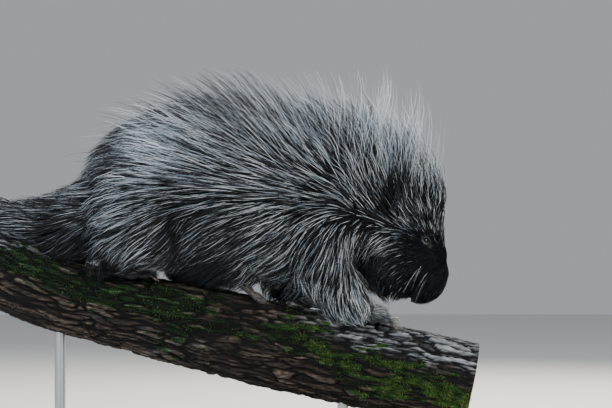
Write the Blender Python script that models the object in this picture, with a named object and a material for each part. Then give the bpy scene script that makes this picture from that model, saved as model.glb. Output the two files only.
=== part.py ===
"""North American porcupine walking down a mossy bough, life size, on a plain display stand.

The row frame is in metres: +X towards the animal's head, +Y to its left, +Z up. The origin is the
centre of the stand's underside. Sizes below are in centimetres and are turned to metres by at() or CM.
"""

import math
import random

import bmesh
import bpy
from mathutils import Matrix, Vector
from mathutils.bvhtree import BVHTree

CM = 0.01
GAP = 0.0003  # between touching solids
COAT_SEED, TORSO_SEED, HEAD_SEED = 7, 1, 8

# Stand
BASE_LENGTH, BASE_WIDTH, BASE_THICK = 60.0, 27.0, 1.8
BASE_CORNER = 3.0
ROD_RADIUS = 0.8
ROD_X = (-21.0, 20.0)

# Bough: x, height of its centre, radius
BOUGH = (
    (-38.7, 32.6, 5.4), (-29.7, 30.5, 5.7), (-21.3, 27.1, 5.6), (-12.8, 24.7, 5.5),
    (-1.5, 22.2, 6.1), (11.6, 19.2, 6.4), (25.4, 16.4, 6.5), (38.4, 13.6, 6.5),
)
BOUGH_SIDES = 14
BOUGH_RINGS = 18
BARK_LUMP = 0.035  # share of the radius
TWIG = ((9.6, -1.8, 24.6), (7.6, -2.2, 26.6), (2.0, -3.2, 31.2))
TWIG_RADII = (0.75, 0.62, 0.42)

# Trunk and neck of the animal under its coat: x, top, bottom, half width
TRUNK = (
    (-15.9, 42.0, 35.6, 3.1), (-13.5, 45.0, 33.6, 5.8), (-10.2, 47.9, 32.5, 8.1),
    (-5.8, 50.5, 31.6, 9.6), (-0.7, 51.9, 31.0, 10.4), (5.1, 52.1, 30.9, 10.6),
    (10.2, 51.3, 31.0, 10.0), (14.5, 50.0, 31.0, 9.0), (18.4, 48.1, 31.2, 7.7),
    (21.8, 46.1, 31.8, 6.4), (25.1, 44.0, 32.6, 5.4), (28.6, 41.4, 33.9, 4.0),
)
# The core is the body with the inner part of its coat: depth over back, flank and belly
CORE_BACK, CORE_FLANK, CORE_BELLY = 1.7, 1.3, 0.6

# Tail: x, height of its centre, half height, half width
TAIL = (
    (-13.0, 39.2, 5.0, 5.0), (-16.2, 38.4, 4.2, 4.5), (-19.6, 37.8, 3.1, 3.9),
    (-24.1, 37.5, 2.1, 3.1), (-29.7, 38.6, 1.5, 2.4), (-33.3, 39.5, 1.0, 1.7),
    (-34.8, 40.0, 0.45, 0.8),
)

# Rounded masses of the shoulders and thighs: centre and radii on the right side
SHOULDER = ((17.2, -5.3, 38.6), (4.8, 3.7, 6.6))
THIGH = ((-7.6, -5.7, 38.6), (6.6, 4.6, 7.0))

# Leg lines from inside the body to the wrist or ankle: x, y, z, radius
FORELEG_RIGHT = (
    (17.4, -5.8, 36.6, 3.2), (17.2, -6.0, 33.2, 3.0), (19.3, -4.8, 29.2, 2.4), (21.5, -3.2, 25.4, 1.6),
)
FORELEG_LEFT = (
    (13.4, 5.8, 36.6, 3.2), (11.4, 6.0, 33.4, 3.0), (11.4, 4.8, 30.6, 2.4), (12.4, 3.2, 27.4, 1.6),
)
HINDLEG_RIGHT = (
    (-7.0, -6.2, 36.8, 4.2), (-7.4, -6.4, 34.6, 3.9), (-10.6, -5.0, 33.2, 2.7), (-13.0, -3.6, 32.4, 2.0),
)
HINDLEG_LEFT = (
    (0.8, 6.2, 36.8, 4.2), (0.6, 6.4, 34.4, 3.9), (-2.4, 5.0, 32.2, 2.7), (-4.2, 3.6, 31.0, 2.0),
)

# Paws: wrist or ankle, toe tips' middle, half width and digits
PAWS = {
    "forepaw_right": ((21.8, -2.9, 24.9), (25.6, -2.2, 23.4), 1.7, 4),
    "forepaw_left": ((12.6, 2.9, 26.9), (16.4, 2.2, 25.4), 1.7, 4),
    "hindpaw_right": ((-13.6, -3.0, 31.0), (-8.8, -2.3, 29.9), 1.75, 5),
    "hindpaw_left": ((-4.6, 3.0, 29.8), (0.4, 2.3, 28.9), 1.75, 5),
}
CLAW_LENGTH, CLAW_RADIUS = 2.0, 0.26

# Head: rounded masses on the midline or mirrored, as centre and radii
HEAD_MASSES = (
    ((29.3, 0.0, 37.6), (4.2, 3.9, 4.2)),
    ((31.5, 0.0, 37.0), (2.9, 2.9, 3.6)),
    ((32.3, 0.0, 33.6), (2.5, 2.4, 3.9)),
    ((32.6, 0.0, 29.9), (2.75, 2.45, 3.3)),
    ((33.5, 0.0, 30.0), (1.95, 2.0, 2.1)),
    ((31.5, 0.0, 28.0), (2.3, 2.1, 2.0)),
    ((28.2, 0.0, 29.6), (2.7, 1.9, 2.9)),
    ((26.4, 0.0, 33.4), (4.2, 3.7, 5.4)),
)
HEAD_PAIRS = (
    ((28.9, 1.9, 33.6), (3.5, 2.2, 3.9)),
    ((31.0, 1.1, 33.0), (2.5, 1.8, 3.4)),
    ((31.3, 1.5, 36.0), (1.9, 1.7, 1.9)),
    ((32.3, 1.1, 29.3), (2.1, 1.5, 2.5)),
    ((29.4, 1.0, 31.0), (2.8, 1.8, 2.6)),
)
EYE, EYE_RADIUS = (31.75, 2.35, 34.65), 0.85
LID_RADIUS, LID_THICK = 0.74, 0.18
NOSTRIL, NOSTRIL_SIZE = (34.6, 1.2, 29.9), (0.7, 0.32, 0.5)
MOUTH_LOW, MOUTH_CORNER, MOUTH_SLIT = (29.35, 25.8), (31.1, 29.0), 0.14
EAR, EAR_HEIGHT, EAR_WIDTH, EAR_DEPTH = (27.8, 4.7, 39.9), 3.2, 2.0, 1.1
EAR_LEAN = 24  # degrees out from upright

# Cuts that part the trunk: a point and the direction towards the part in front
TAIL_CUT = ((-15.8, 0, 39.0), (1, 0, 0.15))
HEAD_CUT = ((26.2, 0, 38.0), (1, 0, -0.14))
# Cuts across the forelegs: a point and the direction towards the paw
FORELEG_CUTS = {
    "foreleg_right": ((18.9, -5.0, 30.0), (0.3, -0.05, -0.95)),
    "foreleg_left": ((11.5, 4.6, 29.9), (0.05, 0.12, -0.97)),
}
CUT_BOX = 8.5


def at(x, y, z):
    return Vector((x, y, z)) * CM


def clear_scene():
    for thing in list(bpy.data.objects):
        bpy.data.objects.remove(thing)


def material(name, colour, roughness, metallic=0.0):
    made = bpy.data.materials.new(name)
    made.use_nodes = True
    shader = made.node_tree.nodes["Principled BSDF"]
    shader.inputs["Base Color"].default_value = (*colour, 1.0)
    shader.inputs["Roughness"].default_value = roughness
    shader.inputs["Metallic"].default_value = metallic
    made.diffuse_color = (*colour, 1.0)
    return made


def object_from(name, points, faces):
    mesh = bpy.data.meshes.new(name)
    mesh.from_pydata([tuple(p) for p in points], [], faces)
    mesh.validate()
    made = bpy.data.objects.new(name, mesh)
    bpy.context.scene.collection.objects.link(made)
    return made


def apply_modifiers(thing):
    """Puts what the modifiers make into the object's own mesh."""
    bpy.context.view_layer.update()
    evaluated = thing.evaluated_get(bpy.context.evaluated_depsgraph_get())
    mesh = bpy.data.meshes.new_from_object(evaluated)
    thing.modifiers.clear()
    old, thing.data = thing.data, mesh
    bpy.data.meshes.remove(old)
    return thing


def smooth_values(rows, count):
    """Points on a smooth curve through rows of numbers, count of them for the whole."""
    made = []
    last = len(rows) - 1
    for k in range(count):
        place = k / (count - 1) * last
        i = min(int(place), last - 1)
        t = place - i
        a, b, c, d = (rows[max(0, min(last, i + n))] for n in (-1, 0, 1, 2))
        made.append([
            0.5 * (2 * q + (r - p) * t + (2 * p - 5 * q + 4 * r - s) * t * t + (3 * q - p - 3 * r + s) * t ** 3)
            for p, q, r, s in zip(a, b, c, d)
        ])
    return made


def tube(name, centres, heights, widths, sides):
    """A closed tube through centres, with half heights across the side view and half widths in Y."""
    points, faces = [], []
    last = len(centres) - 1
    for i, centre in enumerate(centres):
        along = (centres[min(i + 1, last)] - centres[max(i - 1, 0)]).normalized()
        across = (Vector((0, 1, 0)) - along * along.y).normalized()
        up = along.cross(across)
        for k in range(sides):
            turn = 2 * math.pi * k / sides
            points.append(centre + across * math.cos(turn) * widths[i] + up * math.sin(turn) * heights[i])
    for i in range(last):
        for k in range(sides):
            n = (k + 1) % sides
            a, b = i * sides, (i + 1) * sides
            faces.append((a + k, a + n, b + n, b + k))
    faces.append(tuple(reversed(range(sides))))
    faces.append(tuple(last * sides + k for k in range(sides)))
    made = object_from(name, points, faces)
    face_out(made)
    return made


def face_out(thing):
    """Turns the faces so that they point out."""
    work = bmesh.new()
    work.from_mesh(thing.data)
    bmesh.ops.recalc_face_normals(work, faces=work.faces)
    if work.calc_volume(signed=True) < 0:
        bmesh.ops.reverse_faces(work, faces=work.faces)
    work.to_mesh(thing.data)
    work.free()


def mass(name, centre, radii, detail=3):
    """An ellipsoid."""
    work = bmesh.new()
    bmesh.ops.create_icosphere(work, subdivisions=detail, radius=1.0)
    for v in work.verts:
        v.co = Vector(v.co[i] * radii[i] for i in range(3)) * CM + at(*centre)
    mesh = bpy.data.meshes.new(name)
    work.to_mesh(mesh)
    work.free()
    made = bpy.data.objects.new(name, mesh)
    bpy.context.scene.collection.objects.link(made)
    return made


def one_skin(name, pieces, voxel, smoothing, triangles):
    """Melts overlapping pieces into one closed skin of about that many triangles."""
    work = bmesh.new()
    for piece in pieces:
        work.from_mesh(piece.data)
        bpy.data.objects.remove(piece)
    mesh = bpy.data.meshes.new(name)
    work.to_mesh(mesh)
    work.free()
    made = bpy.data.objects.new(name, mesh)
    bpy.context.scene.collection.objects.link(made)
    melt = made.modifiers.new("melt", "REMESH")
    melt.mode = "VOXEL"
    melt.voxel_size = voxel * CM
    soften = made.modifiers.new("soften", "SMOOTH")
    soften.factor = 0.5
    soften.iterations = smoothing
    split = made.modifiers.new("split", "TRIANGULATE")
    split.show_viewport = split.show_render = True
    apply_modifiers(made)
    thin = made.modifiers.new("thin", "DECIMATE")
    thin.ratio = min(1.0, triangles / len(made.data.polygons))
    thin.use_symmetry = False
    apply_modifiers(made)
    face_out(made)
    return made


def combine(target, other, operation, solver="EXACT"):
    """Applies one Boolean to target and removes the other object."""
    step = target.modifiers.new(operation.lower(), "BOOLEAN")
    step.operation = operation
    step.solver = solver
    step.object = other
    apply_modifiers(target)
    bpy.data.objects.remove(other)
    return target


def half_space(point, towards, size=1.5):
    """A big block whose flat side passes through point, on the side that towards points to."""
    normal = Vector(towards).normalized()
    work = bmesh.new()
    bmesh.ops.create_cube(work, size=size)
    turn = normal.to_track_quat("Z", "Y").to_matrix().to_4x4()
    bmesh.ops.transform(
        work, verts=work.verts, matrix=Matrix.Translation(Vector(point) + normal * size / 2) @ turn
    )
    mesh = bpy.data.meshes.new("block")
    work.to_mesh(mesh)
    work.free()
    made = bpy.data.objects.new("block", mesh)
    bpy.context.scene.collection.objects.link(made)
    return made


def cut_away(thing, point, towards):
    """Removes what lies past the plane through point, and a little before it."""
    normal = Vector(towards).normalized()
    combine(thing, half_space(Vector(point) - normal * GAP, normal), "DIFFERENCE")
    return thing


def copy_of(thing, name):
    made = thing.copy()
    made.data = thing.data.copy()
    made.name = name
    bpy.context.scene.collection.objects.link(made)
    return made


def swollen(thing, by):
    """A copy whose surface lies that much further out."""
    made = copy_of(thing, "swollen")
    work = bmesh.new()
    work.from_mesh(made.data)
    work.normal_update()
    moves = [v.normal * by for v in work.verts]
    for v, move in zip(work.verts, moves):
        v.co += move
    work.to_mesh(made.data)
    work.free()
    return made


def keep_largest(thing):
    """Triangulates and drops every scrap and inner shell but the largest closed surface."""
    work = bmesh.new()
    work.from_mesh(thing.data)
    bmesh.ops.triangulate(work, faces=work.faces)
    left = set(work.faces)
    shells = []
    while left:
        seed = left.pop()
        shell, found = [seed], [seed]
        while found:
            face = found.pop()
            for edge in face.edges:
                if len(edge.link_faces) != 2:
                    continue
                for other in edge.link_faces:
                    if other in left:
                        left.discard(other)
                        shell.append(other)
                        found.append(other)
        shells.append(shell)
    largest = max(shells, key=lambda shell: sum(face.calc_area() for face in shell))
    drop = [face for shell in shells if shell is not largest for face in shell]
    bmesh.ops.delete(work, geom=drop, context="FACES")
    work.to_mesh(thing.data)
    work.free()
    return thing


def tree_of(thing):
    work = bmesh.new()
    work.from_mesh(thing.data)
    made = BVHTree.FromBMesh(work)
    work.free()
    return made


# The coat seen from the side: x, z, lie of the hair in degrees from +X towards +Z, length, lift off the skin
COAT = {
    "tail tip": (-33.0, 39.8, 176, 3.2, 14),
    "tail": (-24.0, 38.0, 178, 4.2, 15),
    "tail root": (-18.1, 40.6, 172, 5.2, 17),
    "rump back": (-15.2, 45.7, 166, 6.0, 24),
    "rump low": (-15.2, 35.5, 187, 5.0, 15),
    "rump top": (-8.0, 51.5, 152, 6.6, 27),
    "mid back": (0.7, 54.4, 132, 7.2, 28),
    "back": (8.0, 55.1, 124, 7.4, 29),
    "fore back": (13.8, 53.7, 118, 7.4, 30),
    "nape": (19.6, 51.5, 110, 7.4, 36),
    "nape front": (24.6, 47.3, 100, 8.6, 52),
    "crown": (29.6, 42.6, 90, 6.6, 66),
    "brow": (32.8, 40.6, 88, 4.4, 34),
    "forehead": (34.0, 37.4, 97, 2.4, 16),
    "temple": (30.5, 37.0, 135, 2.6, 18),
    "behind the ear": (25.4, 40.5, 150, 4.6, 24),
    "cheek": (28.3, 33.6, 183, 2.4, 14),
    "jaw": (27.6, 29.7, 205, 1.8, 12),
    "side of neck": (22.5, 39.9, 160, 5.0, 19),
    "shoulder": (16.7, 42.1, 170, 5.6, 18),
    "upper shoulder": (13.8, 47.9, 132, 7.0, 24),
    "high flank": (-0.7, 47.9, 148, 7.0, 21),
    "flank": (6.5, 42.1, 167, 6.6, 18),
    "rear flank": (-0.7, 42.1, 170, 6.6, 18),
    "low flank": (2.2, 36.3, 200, 5.6, 16),
    "belly side": (6.5, 32.6, 215, 4.2, 14),
    "thigh": (-8.0, 42.1, 178, 6.6, 18),
    "low thigh": (-9.4, 36.3, 197, 5.6, 15),
    "shin": (-11.6, 32.0, 225, 2.8, 13),
    "upper arm": (18.1, 35.5, 255, 4.8, 16),
    "elbow": (14.5, 32.6, 222, 6.0, 24),
    "forearm": (20.7, 27.6, 256, 4.0, 20),
    "back of the forearm": (17.2, 28.4, 232, 5.2, 24),
    "chest": (21.8, 31.2, 235, 2.8, 12),
    "belly": (-0.7, 30.7, 190, 3.2, 12),
}
LOCK_RINGS = ((0.0, 0.8), (0.36, 1.0), (0.7, 0.7), (1.0, 0.0))  # share of the length, share of the width
SHORT_RINGS = ((0.0, 0.85), (0.5, 1.0), (1.0, 0.0))
QUILL_RINGS = ((0.0, 1.0), (0.6, 0.8), (1.0, 0.0))
THICK_SHARE = 0.2  # of a lock's width
SINK = 0.5
QUILL_WIDTH, QUILL_LENGTH = 0.36, 8.6
CLEARANCE = 0.09  # by which an obstacle is swollen before a lock is tried against it


def coat_at(point):
    """The lie, length and lift of the coat there, blended from the nearest entries of COAT."""
    x, z = point.x / CM, point.z / CM
    total, flow, length, lift = 0.0, Vector((0, 0, 0)), 0.0, 0.0
    for gx, gz, degrees, hair, rise in COAT.values():
        weight = 1 / ((x - gx) ** 2 + (z - gz) ** 2 + 1.0) ** 1.6
        turn = math.radians(degrees)
        flow += weight * Vector((math.cos(turn), 0, math.sin(turn)))
        length += weight * hair
        lift += weight * rise
        total += weight
    return flow.normalized(), length / total * CM, math.radians(lift / total)


def tangent_at(point, normal, heading):
    """The lie of the coat on the surface, or the heading's own where the coat would stand straight out."""
    flow = coat_at(point)[0]
    along = flow - normal * flow.dot(normal)
    if along.length < 0.3:
        along = heading - normal * heading.dot(normal)
    return along.normalized()


def lay(tree, root, normal, length, lift, steps=12):
    """A line that starts under the root, rises at the lift over the surface and then follows the coat."""
    height = length * math.sin(lift)
    steepest = min(0.95, 0.25 + math.sin(lift))
    place = root - normal * SINK * CM
    heading = tangent_at(root, normal, Vector((-1, 0, 0.2)))
    heading = (heading + normal * 0.7).normalized()
    line = [(place, normal)]
    turned = normal
    for _ in range(steps):
        near, out, _, _ = tree.find_nearest(place)
        turned = (turned * 0.85 + out * 0.15).normalized()
        over = (place - near).dot(out)
        climb = max(-0.25, min(steepest, (height - over) / (0.4 * length)))
        aim = tangent_at(place, out, heading) * math.sqrt(1 - climb * climb) + out * climb
        heading = (heading * 0.4 + aim * 0.6).normalized()
        place = place + heading * (length + SINK * CM) / steps
        line.append((place, turned))
    return line


def stand_up(root, normal, length, lift):
    """A straight line that stands off the surface at that angle and leans with the coat."""
    heading = tangent_at(root, normal, Vector((-1, 0, 0))) * math.cos(lift) + normal * math.sin(lift)
    start = root - heading * SINK * CM / math.sin(lift)
    return [(start, normal), (start + heading * length, normal)]


def lock(line, rings, width, thick):
    """A tapered piece of three sides along a line, flat below and ridged above."""
    points, faces = [], []
    last = len(line) - 1
    for share, wide in rings:
        spot = share * last
        i = min(int(spot), last - 1)
        (a, up_a), (b, up_b) = line[i], line[i + 1]
        place = a.lerp(b, spot - i)
        if wide == 0.0:
            points.append(place)
            continue
        across = up_a.lerp(up_b, spot - i).cross(b - a).normalized()
        up = (b - a).cross(across).normalized()
        half = across * width / 2 * wide
        points += [place - half, place + half, place + up * thick * wide]
    faces.append((0, 2, 1))
    for i in range(len(rings) - 2):
        for k in range(3):
            n = (k + 1) % 3
            faces.append((i * 3 + k, i * 3 + n, i * 3 + 3 + n, i * 3 + 3 + k))
    first = (len(rings) - 2) * 3
    for k in range(3):
        faces.append((first + k, first + (k + 1) % 3, first + 3))
    made = object_from("lock", points, faces)
    face_out(made)
    return made


def is_clear(piece, obstacles):
    tree = tree_of(piece)
    return not any(tree.overlap(other) for other in obstacles)


def roots_around(thing, line, row_spacing, spacing, keep=None, farthest=30.0):
    """Root points and normals in staggered rows round a line inside the object, except on its flat cuts."""
    tree = tree_of(thing)
    axis = [at(*spot) for spot in line]
    lengths = [(b - a).length for a, b in zip(axis, axis[1:])]
    rows = max(2, round(sum(lengths) / (row_spacing * CM)))
    found = []
    for row in range(rows):
        left = sum(lengths) * (row + 0.5) / rows
        i = 0
        while i < len(lengths) - 1 and left > lengths[i]:
            left -= lengths[i]
            i += 1
        along = (axis[i + 1] - axis[i]).normalized()
        centre = axis[i] + along * left
        across = (Vector((0, 1, 0)) - along * along.y).normalized()
        up = along.cross(across)
        if up.z < 0:
            up = -up
        reach = []
        for k in range(8):
            turn = math.pi * k / 4
            hit = tree.ray_cast(centre, across * math.cos(turn) + up * math.sin(turn))
            reach.append((hit[0] - centre).length if hit[0] else 0.0)
        count = max(4, round(2 * math.pi * sum(reach) / len(reach) / (spacing * CM)))
        for k in range(count):
            turn = 2 * math.pi * (k + 0.5 * (row % 2) + random.uniform(-0.16, 0.16)) / count
            ray = across * math.cos(turn) + up * math.sin(turn) + along * random.uniform(-0.1, 0.1)
            point, normal, _, _ = tree.ray_cast(centre, ray.normalized(), farthest * CM)
            if point is None or on_a_cut(point) or keep is not None and not keep(point, normal):
                continue
            found.append((point, normal))
    return found


def on_a_cut(point):
    """Whether the point lies on a flat cut between two nodes."""
    cuts = (TAIL_CUT, HEAD_CUT, *FORELEG_CUTS.values())
    cuts = ((at(*spot), Vector(towards).normalized()) for spot, towards in cuts)
    return any(abs((point - spot).dot(towards)) < 0.1 * CM for spot, towards in cuts)


def fuse(thing, pieces, kept=1.0):
    """Joins the pieces to the object one by one and leaves that share of the triangles."""
    for piece in pieces:
        combine(thing, piece, "UNION", "MANIFOLD")
    keep_largest(thing)
    if kept < 1.0:
        thin(thing, kept)
    return thing


def thin(thing, kept):
    """Leaves that share of the triangles, the smallest edges going first."""
    step = thing.modifiers.new("thin", "DECIMATE")
    step.ratio = kept
    apply_modifiers(thing)


def locks_on(tree, roots, obstacles, longer, width_share, least_width=1.0, rings=SHORT_RINGS):
    """A lock on each root, higher and then shorter until it clears the obstacles."""
    made = []
    for root, normal in roots:
        _, length, lift = coat_at(root)
        length *= longer * random.uniform(0.9, 1.12)
        width = max(least_width * CM, length * width_share) * random.uniform(0.9, 1.1)
        lift *= random.uniform(0.85, 1.1)
        for attempt in range(8):
            short = 0.9 ** attempt
            line = lay(tree, root, normal, length * short, min(1.3, lift * (1 + 0.16 * attempt)))
            piece = lock(line, rings, width * short, max(0.12 * CM, width * THICK_SHARE))
            if is_clear(piece, obstacles):
                made.append(piece)
                break
            bpy.data.objects.remove(piece)
    return made


def quills_on(roots, obstacles, length=QUILL_LENGTH, steepest=62, flattest=40):
    """A quill on each root, where it is clear of the obstacles."""
    made = []
    for root, normal in roots:
        lift = math.radians(random.uniform(flattest, steepest))
        line = stand_up(root, normal, length * CM * random.uniform(0.8, 1.1), lift)
        piece = lock(line, QUILL_RINGS, QUILL_WIDTH * CM, QUILL_WIDTH * 0.8 * CM)
        if is_clear(piece, obstacles):
            made.append(piece)
        else:
            bpy.data.objects.remove(piece)
    return made


def ring_lumps(index, count):
    """Uneven radii of one ring of the bough, like furrowed bark."""
    return [
        1 + BARK_LUMP * (math.sin(3 * 2 * math.pi * k / count + 0.9 * index)
                         + 0.6 * math.sin(5 * 2 * math.pi * k / count - 1.7 * index))
        for k in range(count)
    ]


def bough_at(share):
    """Centre and radius of the bough at a share of its length."""
    last = len(BOUGH) - 1
    rows = smooth_values([list(row) for row in BOUGH], 12 * last + 1)
    x, z, radius = rows[round(share * 12 * last)]
    return at(x, 0, z), radius * CM


def make_perch(extra=0.0):
    """The bough and its broken twig, thicker all round by extra metres."""
    points, faces = [], []
    sides, rings = BOUGH_SIDES, BOUGH_RINGS
    spots = [bough_at(i / (rings - 1)) for i in range(rings)]
    for i, (centre, radius) in enumerate(spots):
        along = (spots[min(i + 1, rings - 1)][0] - spots[max(i - 1, 0)][0]).normalized()
        up = along.cross(Vector((0, -1, 0)))
        lumps = ring_lumps(i, sides)
        centre = centre + along * extra * ((i == rings - 1) - (i == 0))
        for k in range(sides):
            turn = 2 * math.pi * k / sides
            reach = radius * lumps[k] + extra
            points.append(centre + (Vector((0, 1, 0)) * math.cos(turn) + up * math.sin(turn)) * reach)
    for i in range(rings - 1):
        for k in range(sides):
            n = (k + 1) % sides
            faces.append((i * sides + k, i * sides + n, (i + 1) * sides + n, (i + 1) * sides + k))
    faces.append(tuple(reversed(range(sides))))
    faces.append(tuple((rings - 1) * sides + k for k in range(sides)))
    perch = object_from("perch", points, faces)
    face_out(perch)
    reach = [r * CM + extra for r in TWIG_RADII]
    line = [at(*p) for p in TWIG]
    line.append(line[-1] + (line[-1] - line[-2]).normalized() * (0.001 + extra))
    reach.append(reach[-1] * 0.7)
    twig = tube("twig", line, reach, reach, 7)
    return fuse(perch, [twig])


def make_stand(perch_room):
    base = half_space((0, 0, 0), (0, 0, 1), 1.0)
    base.name = "stand_base"
    base.data.name = "stand_base"
    for v in base.data.vertices:
        v.co.x *= BASE_LENGTH * CM
        v.co.y *= BASE_WIDTH * CM
        v.co.z *= BASE_THICK * CM
    work = bmesh.new()
    work.from_mesh(base.data)
    upright = [e for e in work.edges if abs(e.verts[0].co.z - e.verts[1].co.z) > 0.001]
    bmesh.ops.bevel(work, geom=upright, offset=BASE_CORNER * CM, segments=5, affect="EDGES", profile=0.5)
    top = [f for f in work.faces if f.normal.z > 0.9]
    rim = [e for f in top for e in f.edges]
    bmesh.ops.bevel(work, geom=rim, offset=0.25 * CM, segments=2, affect="EDGES", profile=0.5)
    work.to_mesh(base.data)
    work.free()
    made = [base]
    for name, x in zip(("stand_rod_rear", "stand_rod_front"), ROD_X):
        foot = at(x, 0, BASE_THICK) + Vector((0, 0, GAP))
        head = at(x, 0, 27.0 if x < 0 else 16.0)
        rod = tube(name, [foot, head], [ROD_RADIUS * CM] * 2, [ROD_RADIUS * CM] * 2, 20)
        combine(rod, copy_of(perch_room, "room"), "DIFFERENCE")
        keep_largest(rod)
        made.append(rod)
    return made


def make_trunk():
    """Trunk, neck, legs and tail as one core, with the inner part of the coat."""
    rows = smooth_values([list(row) for row in TRUNK], 34)
    centres, heights, widths = [], [], []
    for x, top, bottom, half in rows:
        top += CORE_BACK
        bottom -= CORE_BELLY
        centres.append(at(x, 0, (top + bottom) / 2))
        heights.append((top - bottom) / 2 * CM)
        widths.append((half + CORE_FLANK) * CM)
    pieces = [tube("barrel", centres, heights, widths, 32)]
    rows = smooth_values([list(row) for row in TAIL], 20)
    pieces.append(tube(
        "tail", [at(x, 0, z) for x, z, _, _ in rows], [h * CM for _, _, h, _ in rows],
        [w * CM for _, _, _, w in rows], 20,
    ))
    for centre, radii in (SHOULDER, THIGH):
        for side in (1, -1):
            swell = [r + CORE_FLANK * 0.7 for r in radii]
            pieces.append(mass("muscle", (centre[0], centre[1] * side, centre[2]), swell))
    pieces += [make_leg(line) for line in (HINDLEG_RIGHT, HINDLEG_LEFT, FORELEG_RIGHT, FORELEG_LEFT)]
    return one_skin("trunk", pieces, 0.55, 5, 1500)


def make_leg(line):
    rows = smooth_values([list(row) for row in line], 8)
    radii = [row[3] * CM for row in rows]
    return tube("leg", [at(*row[:3]) for row in rows], radii, radii, 12)


def make_claw(root, along, length):
    """One curved claw that bends down to its point."""
    line, radii = [], []
    heading = along.normalized()
    place = root
    for share, thick in ((0.0, 1.0), (0.4, 0.86), (0.75, 0.5), (1.0, 0.12)):
        line.append(place)
        radii.append(CLAW_RADIUS * thick * CM)
        heading = (heading + Vector((0, 0, -0.34))).normalized()
        place = place + heading * length * 0.33
    return tube("claw", line, radii, [r * 0.75 for r in radii], 4)


def make_paw(name, room):
    """Sole, toes and claws of one paw, cut to lie on the bough."""
    ankle, toes, half, digits = PAWS[name]
    ankle, toes = at(*ankle), at(*toes)
    along = (toes - ankle).normalized()
    across = Vector((0, 0, 1)).cross(along).normalized()
    length = (toes - ankle).length / CM
    middle = (ankle * 0.45 + toes * 0.55) / CM
    pieces = [
        mass("sole", middle, (length * 0.52, half, 1.35), 2),
        mass("wrist", (ankle / CM + Vector((0.2, 0, 0.3))), (1.75, 1.6, 1.7), 2),
    ]
    claws = []
    for k in range(digits):
        spread = (k - (digits - 1) / 2) / ((digits - 1) / 2)
        shift = across * spread * half * 0.82 * CM
        reach = along * (0.45 - 0.5 * spread * spread) * CM
        tip = toes + shift + reach
        pieces.append(mass("toe", tip / CM, (1.15, 0.42, 0.62), 2))
        out = along + across * spread * 0.28 + Vector((0, 0, 0.12))
        claws.append(make_claw(tip + along * 0.55 * CM + Vector((0, 0, 0.001)), out, CLAW_LENGTH * CM))
    paw = one_skin(name, pieces, 0.2, 2, 190)
    fuse(paw, claws)
    combine(paw, copy_of(room, "room"), "DIFFERENCE")
    return keep_largest(paw)


def make_head():
    """Head core with lids, eye sockets, the slit of the mouth and the nostrils."""
    pieces = [mass("part", centre, radii) for centre, radii in HEAD_MASSES]
    for centre, radii in HEAD_PAIRS:
        for side in (1, -1):
            pieces.append(mass("part", (centre[0], centre[1] * side, centre[2]), radii))
    rows = smooth_values([list(row) for row in TRUNK[-3:]], 6)
    coat = [(1 - i / 5) for i in range(6)]
    pieces.append(tube(
        "neck", [at(x, 0, (top + bottom + CORE_BACK - CORE_BELLY) / 2) for x, top, bottom, _ in rows],
        [((top - bottom) / 2 + CORE_BELLY + left * (CORE_BACK - CORE_BELLY)) * CM
         for (_, top, bottom, _), left in zip(rows, coat)],
        [(row[3] + CORE_FLANK * left) * CM for row, left in zip(rows, coat)], 24,
    ))
    head = one_skin("head", pieces, 0.3, 12, 950)
    cut_away(head, at(*HEAD_CUT[0]), -Vector(HEAD_CUT[1]))
    for side in (1, -1):
        eye = at(EYE[0], EYE[1] * side, EYE[2])
        outward = Vector((0.42, 0.9 * side, 0.05)).normalized()
        turn = outward.to_track_quat("Z", "Y").to_matrix().to_4x4()
        fuse(head, [make_lid(eye + outward * 0.0036, turn)])
    for side in (1, -1):
        eye = (EYE[0], EYE[1] * side, EYE[2])
        combine(head, mass("socket", eye, [EYE_RADIUS + GAP / CM] * 3, 2), "DIFFERENCE")
    low, corner = MOUTH_LOW, MOUTH_CORNER
    line = Vector((corner[0] - low[0], 0, corner[1] - low[1])).normalized()
    slit = half_space((0, 0, 0), (0, 0, 1), 1.0)
    slit.data.transform(Matrix.Diagonal((MOUTH_SLIT * CM, 0.08, math.dist(low, corner) * CM, 1.0)))
    slit.data.transform(Matrix.Rotation(math.atan2(line.x, line.z), 4, "Y"))
    slit.data.transform(Matrix.Translation(at(low[0], 0, low[1])))
    combine(head, slit, "DIFFERENCE")
    for side in (1, -1):
        hole = mass("nostril", (NOSTRIL[0], NOSTRIL[1] * side, NOSTRIL[2]), NOSTRIL_SIZE, 2)
        combine(head, hole, "DIFFERENCE")
    return keep_largest(head)


def make_lid(centre, turn):
    """The rim of both lids as a ring round the eye, wider than high."""
    points, faces = [], []
    around, sides = 14, 5
    for i in range(around):
        a = 2 * math.pi * i / around
        spot = Vector((math.cos(a) * 1.12, math.sin(a) * 0.86, 0)) * LID_RADIUS
        out = Vector((math.cos(a), math.sin(a), 0))
        for k in range(sides):
            b = 2 * math.pi * k / sides
            p = spot + out * math.cos(b) * LID_THICK + Vector((0, 0, 1)) * math.sin(b) * LID_THICK * 1.3
            points.append(centre + turn @ (p * CM))
    for i in range(around):
        j = (i + 1) % around
        for k in range(sides):
            n = (k + 1) % sides
            faces.append((i * sides + k, j * sides + k, j * sides + n, i * sides + n))
    made = object_from("lid", points, faces)
    face_out(made)
    return made


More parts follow.
